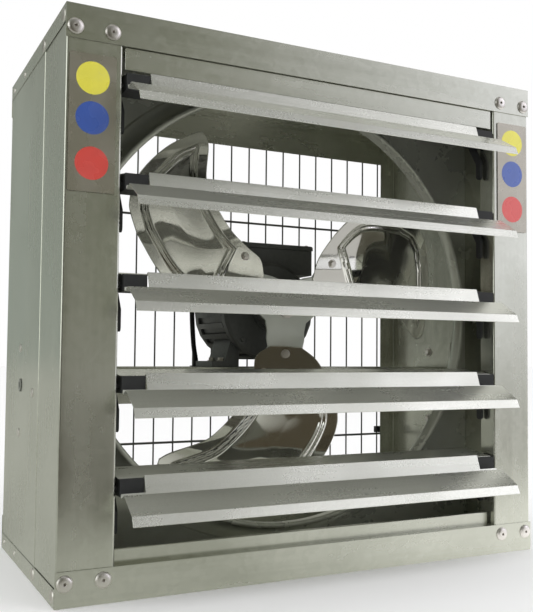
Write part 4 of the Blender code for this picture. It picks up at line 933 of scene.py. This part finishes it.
def alongPath(points, share):
    lengths = [(there - here).length for here, there in zip(points, points[1:])]
    left = share * sum(lengths)
    for here, there, length in zip(points, points[1:], lengths):
        if left <= length:
            return here.lerp(there, left / length)
        left -= length
    return points[-1]


def between(low, value, high):
    return min(high, max(low, value))


def ease(share):
    return share * share * (3 - 2 * share)


# How far the blade leans back for each step across, at a distance from the axis
def lean(spec, out):
    if out < spec["armNeck"]:
        return spec["rootLean"] * max(0.0, (out - spec["armStart"]) / (spec["armNeck"] - spec["armStart"]))
    share = max(0.0, (out - spec["armLength"]) / (spec["tip"] - spec["armLength"]))
    return spec["rootLean"] + (spec["tipLean"] - spec["rootLean"]) * share


# How far the blade's front face lies behind the propeller's plane, before its pressed ribs
def bladeHeight(spec, out, across):
    share = (out / spec["tip"] - spec["camberFrom"]) / (spec["camberFull"] - spec["camberFrom"])
    share = between(0.0, share, 1.0)
    edge = spec["end"][0][1]
    off = across / spec["tip"] - (edge + spec["leading"][-1][1]) / 2 * share
    return spec["camber"] * ease(share) * (1 - (off / edge) ** 2) - lean(spec, out) * across


# Distance from a point to a chain of points
def nearest(point, outline):
    best = 1.0
    for here, there in zip(outline, outline[1:]):
        run = there - here
        share = between(0.0, (point - here).dot(run) / run.length_squared, 1.0)
        best = min(best, (point - here - run * share).length)
    return best


def turnedTo(angle, out, across, behind):
    x = out * math.cos(angle) - across * math.sin(angle)
    z = out * math.sin(angle) + across * math.cos(angle)
    return fanAxis + Vector((x, behind, z))


# How far the ribs, the dish and the swell of the panel stand forward, at a distance inside its border
def pressed(spec, inside):
    press = sum(high * math.exp(-(((inside - away) / wide) ** 2)) for away, wide, high in spec["ribs"])
    press += spec["dish"] * ease(between(0.0, (inside + spec["dishFrom"]) / spec["dishOver"], 1.0))
    return press + spec["swell"] * (1 - math.exp(-((max(0.0, inside) / spec["swellOver"]) ** 2)))


# Places of the blade's grid as outwards, across and behind, with its ribs pressed forward
def bladeGrid(spec):
    trailing, leading, end, root = (
        smoothPath(spec[name], spec["spans"]) for name in ("trailing", "leading", "end", "root")
    )
    outline = trailing + end[1:] + leading[::-1][1:]
    places = {}
    for row in range(spec["rows"] + 1):
        v = row / spec["rows"]
        for column in range(spec["columns"] + 1):
            u = column / spec["columns"]
            edges = alongPath(root, u) * (1 - v) + alongPath(end, u) * v
            sides = alongPath(trailing, v) * (1 - u) + alongPath(leading, v) * u
            ends = (root[0] * (1 - u) + root[-1] * u) * (1 - v) + (end[0] * (1 - u) + end[-1] * u) * v
            share = edges + sides - ends
            out, across = share.x * spec["tip"], share.y * spec["tip"]
            inset = nearest(share, outline) * spec["tip"]
            inside = min(inset - spec["panelInset"], out - spec["panelStart"])
            places[column, row] = (out, across, bladeHeight(spec, out, across) - pressed(spec, inside))
    return places


def bladePieces(spec):
    grid = bladeGrid(spec)
    for number in range(spec["count"]):
        angle = spec["firstAngle"] + number * math.tau / spec["count"]
        bm = bmesh.new()
        bmesh.ops.create_grid(bm, x_segments=spec["columns"], y_segments=spec["rows"], size=1)
        for vert in bm.verts:
            column = round((vert.co.x + 1) / 2 * spec["columns"])
            row = round((vert.co.y + 1) / 2 * spec["rows"])
            vert.co = turnedTo(angle, *grid[column, row])
        bm.normal_update()
        faceForward(bm, bm.faces)
        node = f"propeller_blade_{number + 1}"
        finishPiece(
            node + "_dressed", bm, mirror, "propeller", (node,), spec["sharp"],
            spec["thickness"],
        )


bladePieces(blade)

hub = dict(plateEdge=0.0009, plateSteps=3, plateOver=40, shaftEdge=0.0004, boltEdge=0.0004, bossEdge=0.0006)
dress("hub_plate", plated, hub["plateEdge"], hub["plateSteps"], over=hub["plateOver"])
dress("rotor_shaft", plated, hub["shaftEdge"])

bladeBolts = dict(
    radius=0.0052,
    head=0.0036,
    washer=0.0010,
    washerRadius=0.0068,
    places=((0.069, 0.0), (0.099, 0.031), (0.099, -0.031)),
    feel=0.004,  # how far beside a bolt the pad's slope is taken
    turn=9,  # of a head, for each metre from the axis
)


# Three bolts through each blade into its arm, square to the leaning pad
def bladeBoltPieces(spec):
    bm = bmesh.new()
    feel = spec["feel"]
    for number in range(blade["count"]):
        angle = blade["firstAngle"] + number * math.tau / blade["count"]
        for out, across in spec["places"]:
            at, right, outward = (
                turnedTo(angle, far, side, bladeHeight(blade, far, side))
                for far, side in ((out, across), (out, across + feel), (out + feel, across))
            )
            way = (right - at).cross(outward - at).normalized()
            if way.y > 0:
                way = -way
            joinInto(bm, hexBolt(spec, at, way, angle + out * spec["turn"]))
    finishFasteners("blade_bolts", bm, body="propeller")


bladeBoltPieces(bladeBolts)
dress("hub_bolt", rivetSteel, hub["boltEdge"])
dress("hub_boss", castMetal, hub["bossEdge"])
print("propeller made")

# Motor

for node, surface, edge, steps in (
    ("motor_frame", enamel, 0.0007, 2),
    ("front_end_shield", enamel, 0.0007, 2),
    ("rear_end_shield", enamel, 0.0007, 2),
    ("terminal_box", enamel, 0.0014, 3),
    ("terminal_lid", enamel, 0.0008, 2),
    ("cable_gland", plastic, 0.0004, 2),
    ("stator", copperWire, 0.0006, 2),
    ("front_bearing", rivetSteel, 0.0005, 2),
    ("rear_bearing", rivetSteel, 0.0005, 2),
    ("motor_cable", rubber, 0.0, 2),
):
    dress(node, surface, edge, steps)

motorBolts = dict(
    foot=dict(radius=0.0065, head=0.0046, washer=0.0012, washerRadius=0.0082),
    footPlaces=((0.067, 0.031), (0.067, 0.073)),  # beside the motor's middle, from front to back
    footTop=0.2963,
    footTurn=40,  # of a head, for each metre back
    shield=dict(radius=0.0042, head=0.0034, washer=0.0006, washerRadius=0.0052),
    shieldRing=0.0665,
    shieldCount=4,
    shieldFirst=45,
    shieldTurn=0.7,
    shieldFaces=((-0.0065, -1), (0.1335, 1)),
    screw=dict(radius=0.0034, head=0.0018, foot=0.35, arc=5, flat=0.2, steps=24),
    screwInset=0.0085,
)


# Bolts of the motor's feet and end shields, and screws of the terminal box's lid
def motorFixingPieces(spec):
    feet = bmesh.new()
    for x, y in spec["footPlaces"]:
        for side in (-1, 1):
            turn = x * side + y * spec["footTurn"]
            joinInto(feet, hexBolt(spec["foot"], (side * x, y, spec["footTop"]), (0, 0, 1), turn))
    finishFasteners("motor_foot_bolts", feet)
    shields = bmesh.new()
    ring, count = spec["shieldRing"], spec["shieldCount"]
    for y, way in spec["shieldFaces"]:
        for step in range(count):
            angle = math.radians(spec["shieldFirst"] + 360 / count * step)
            at = (ring * math.cos(angle), y, fanAxis.z + ring * math.sin(angle))
            joinInto(shields, hexBolt(spec["shield"], at, (0, way, 0), step * spec["shieldTurn"]))
    finishFasteners("end_shield_bolts", shields, enamel)
    low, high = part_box("terminal_lid")
    lid = bmesh.new()
    for x in (low.x + spec["screwInset"], high.x - spec["screwInset"]):
        for y in (low.y + spec["screwInset"], high.y - spec["screwInset"]):
            joinInto(lid, domeHead(spec["screw"], (x, y, high.z), (0, 0, 1)))
    finishFasteners("terminal_lid_screws", lid)


motorFixingPieces(motorBolts)

# Guard

guard = dict(sharp=75, clips=4, clipEdge=0.0005)
dress("guard_grille", wireSteel, sharp=guard["sharp"])
for number in range(1, guard["clips"] + 1):
    dress(f"guard_clip_{number}", plastic, guard["clipEdge"])
print("motor and guard dressed")


# Light

studio = dict(
    base=(0.130, 0.132, 0.111),
    lobes=(
        # direction, cosine where it starts, cosine where it is full, colour that it adds
        ((0.25, -0.97, 0.05), 0.84, 0.97, (0.05, 0.055, 0.01)),
        ((0.819, -0.574, 0.06), 0.745, 0.985, (1.16, 1.16, 1.30)),
        ((0.76, -0.36, 0.55), 0.84, 1.00, (1.0, 0.98, 1.10)),
        ((-1.00, -0.08, 0.05), 0.62, 0.92, (1.50, 1.56, 1.52)),
        ((-0.16, 0.98, 0.00), 0.86, 0.98, (0.20, 0.235, 0.215)),
        ((0.22, 0.74, 0.63), 0.78, 0.97, (0.60, 0.60, 0.55)),
        ((0.00, -0.10, 1.00), 0.85, 0.99, (0.60, 0.60, 0.60)),
        ((-0.62, 0.78, 0.00), 0.90, 0.99, (-0.05, -0.05, -0.045)),
    ),
    lobePower=2.0,
    dark=((-0.22, -0.97, 0.00), 0.885, 0.975, (0.040, 0.034, 0.020)),
    box=(0.74, 0.73, 0.76),
    boxTurn=((0.36, 1.30), (0.20, 0.10)),  # from and to, and how soft each edge is
    boxRise=((0.36, 0.80), (0.05, 0.12)),
    daylight=(1.08, 1.08, 1.08),
    backdrop=(1.0, 1.0, 1.0),
)


# Plain white to the eye and to matt surfaces. Metal mirrors a dim room with a few broad soft panels.
def lightStudio(spec):
    world = bpy.data.worlds.new("studio")
    bpy.context.scene.world = world
    world.use_nodes = True
    world.cycles.sampling_method = "NONE"
    tree = world.node_tree
    way = place(tree, "TexCoord").outputs["Generated"]

    def towards(direction):
        unit = tuple(Vector(direction).normalized())
        return vectors(tree, "DOT_PRODUCT", {0: way, 1: unit}, "Value")

    def lit(under, share, tint):
        return blendColour(tree, share, under, blendColour(tree, 1.0, under, tint, "ADD"))

    base = place(tree, "RGB")
    base.outputs[0].default_value = opaque(spec["base"])
    colour = base.outputs[0]
    for direction, start, full, tint in spec["lobes"]:
        glow = maths(tree, "POWER", span(tree, towards(direction), start, full, 0.0, 1.0), spec["lobePower"])
        colour = lit(colour, glow, tint)
    direction, start, full, tint = spec["dark"]
    colour = blendColour(tree, span(tree, towards(direction), start, full, 0.0, 1.0, True), colour, tint)
    parts = place(tree, "SeparateXYZ", {0: way}).outputs
    turn = maths(tree, "ARCTAN2", parts["X"], times(tree, parts["Y"], -1.0))
    inBox = 1.0
    for value, ((low, high), (soft, softer)) in ((turn, spec["boxTurn"]), (parts["Z"], spec["boxRise"])):
        inBox = times(tree, inBox, span(tree, value, low, low + soft, 0.0, 1.0))
        inBox = times(tree, inBox, span(tree, value, high, high - softer, 0.0, 1.0))
    room = fill(tree, tree.nodes["Background"], {"Color": lit(colour, inBox, spec["box"])})
    white = place(tree, "Background", {"Color": opaque(spec["backdrop"])})
    plain = place(tree, "Background", {"Color": opaque(spec["daylight"])})
    rays = place(tree, "LightPath").outputs
    matt = place(tree, "MixShader", {0: rays["Is Diffuse Ray"], 1: room.outputs[0], 2: plain.outputs[0]})
    mixed = place(tree, "MixShader", {0: rays["Is Camera Ray"], 1: matt.outputs[0], 2: white.outputs[0]})
    tree.links.new(mixed.outputs[0], tree.nodes["World Output"].inputs["Surface"])


keyPanel = dict(at=(1.2, -1.6, 2.0), target=(0, 0, 0.35), size=1.6, power=9)


def addPanel(spec):
    light = bpy.data.lights.new("key panel", "AREA")
    light.shape = "RECTANGLE"
    light.size = light.size_y = spec["size"]
    light.energy = spec["power"]
    made = addObject("key panel", light)
    made.location = spec["at"]
    look = Vector(spec["target"]) - Vector(spec["at"])
    made.rotation_euler = look.to_track_quat("-Z", "Y").to_euler()
    made.visible_glossy = False


ground = dict(
    size=30, drop=0.0005, seen=(0.94, 0.94, 0.94), rough=0.9,
    # painted reflection of the floor that metal sees: its tones, painted lighter to the right and with painted
    # shade ahead on the left and behind, and where along X or Y each one comes in
    left=(0.47, 0.48, 0.43), right=(1.22, 1.22, 1.19), paintedLightRightFrom=(-0.10, 0.45), dark=(0.06, 0.05, 0.03),
    paintedShadeAhead=(-0.55, -0.95), paintedShadeLeftward=(0.70, 0.0, 0.62, 1.0), behind=(0.10, 0.10, 0.08),
    paintedShadeBack=(0.15, 0.45), paintedShadeRightward=(-0.45, -0.30),
)


# A pale floor. To glossy rays it glows instead: a painted reflection of the floor, lighter to the right, with
# painted shade ahead on the left and behind the object.
def addFloor(spec):
    made, tree, shader, at = newMaterial("pale floor with painted reflection")
    fill(tree, shader, {"Base Color": opaque(spec["seen"]), "Roughness": spec["rough"]})
    where = place(tree, "SeparateXYZ", {0: at}).outputs
    rightward = span(tree, where["X"], *spec["paintedLightRightFrom"], 0.0, 1.0)
    colour = blendColour(tree, rightward, spec["left"], spec["right"])
    # painted shade: the mirrored floor darker ahead of the object and to the left
    ahead = span(tree, where["Y"], *spec["paintedShadeAhead"], 0.0, 1.0, True)
    leftward = span(tree, where["X"], *spec["paintedShadeLeftward"], True)
    colour = blendColour(tree, times(tree, ahead, leftward), colour, spec["dark"])
    # painted shade: the mirrored floor darker behind the object, except far to the left
    back = span(tree, where["Y"], *spec["paintedShadeBack"], 0.0, 1.0, True)
    shaded = span(tree, where["X"], *spec["paintedShadeRightward"], 0.0, 1.0, True)
    colour = blendColour(tree, times(tree, back, shaded), colour, spec["behind"])
    # painted reflection: an emission that glossy rays see in place of the lit floor
    paintedReflection = place(tree, "Emission", {"Color": colour, "Strength": 1.0})
    glossy = place(tree, "LightPath").outputs["Is Glossy Ray"]
    mixed = place(tree, "MixShader", {0: glossy, 1: shader.outputs[0], 2: paintedReflection.outputs[0]})
    tree.links.new(mixed.outputs[0], tree.nodes["Material Output"].inputs["Surface"])
    made.cycles.emission_sampling = "NONE"
    bm = bmesh.new()
    bmesh.ops.create_grid(bm, x_segments=1, y_segments=1, size=spec["size"])
    bmesh.ops.translate(bm, verts=bm.verts, vec=(0, 0, -spec["drop"]))
    mesh = meshFrom("floor", bm)
    mesh.materials.append(made)
    floor = addObject("floor", mesh)


addCamera(camera)
lightStudio(studio)
addPanel(keyPanel)
addFloor(ground)
bpy.context.scene.view_settings.view_transform = "Standard"
print("studio lit")
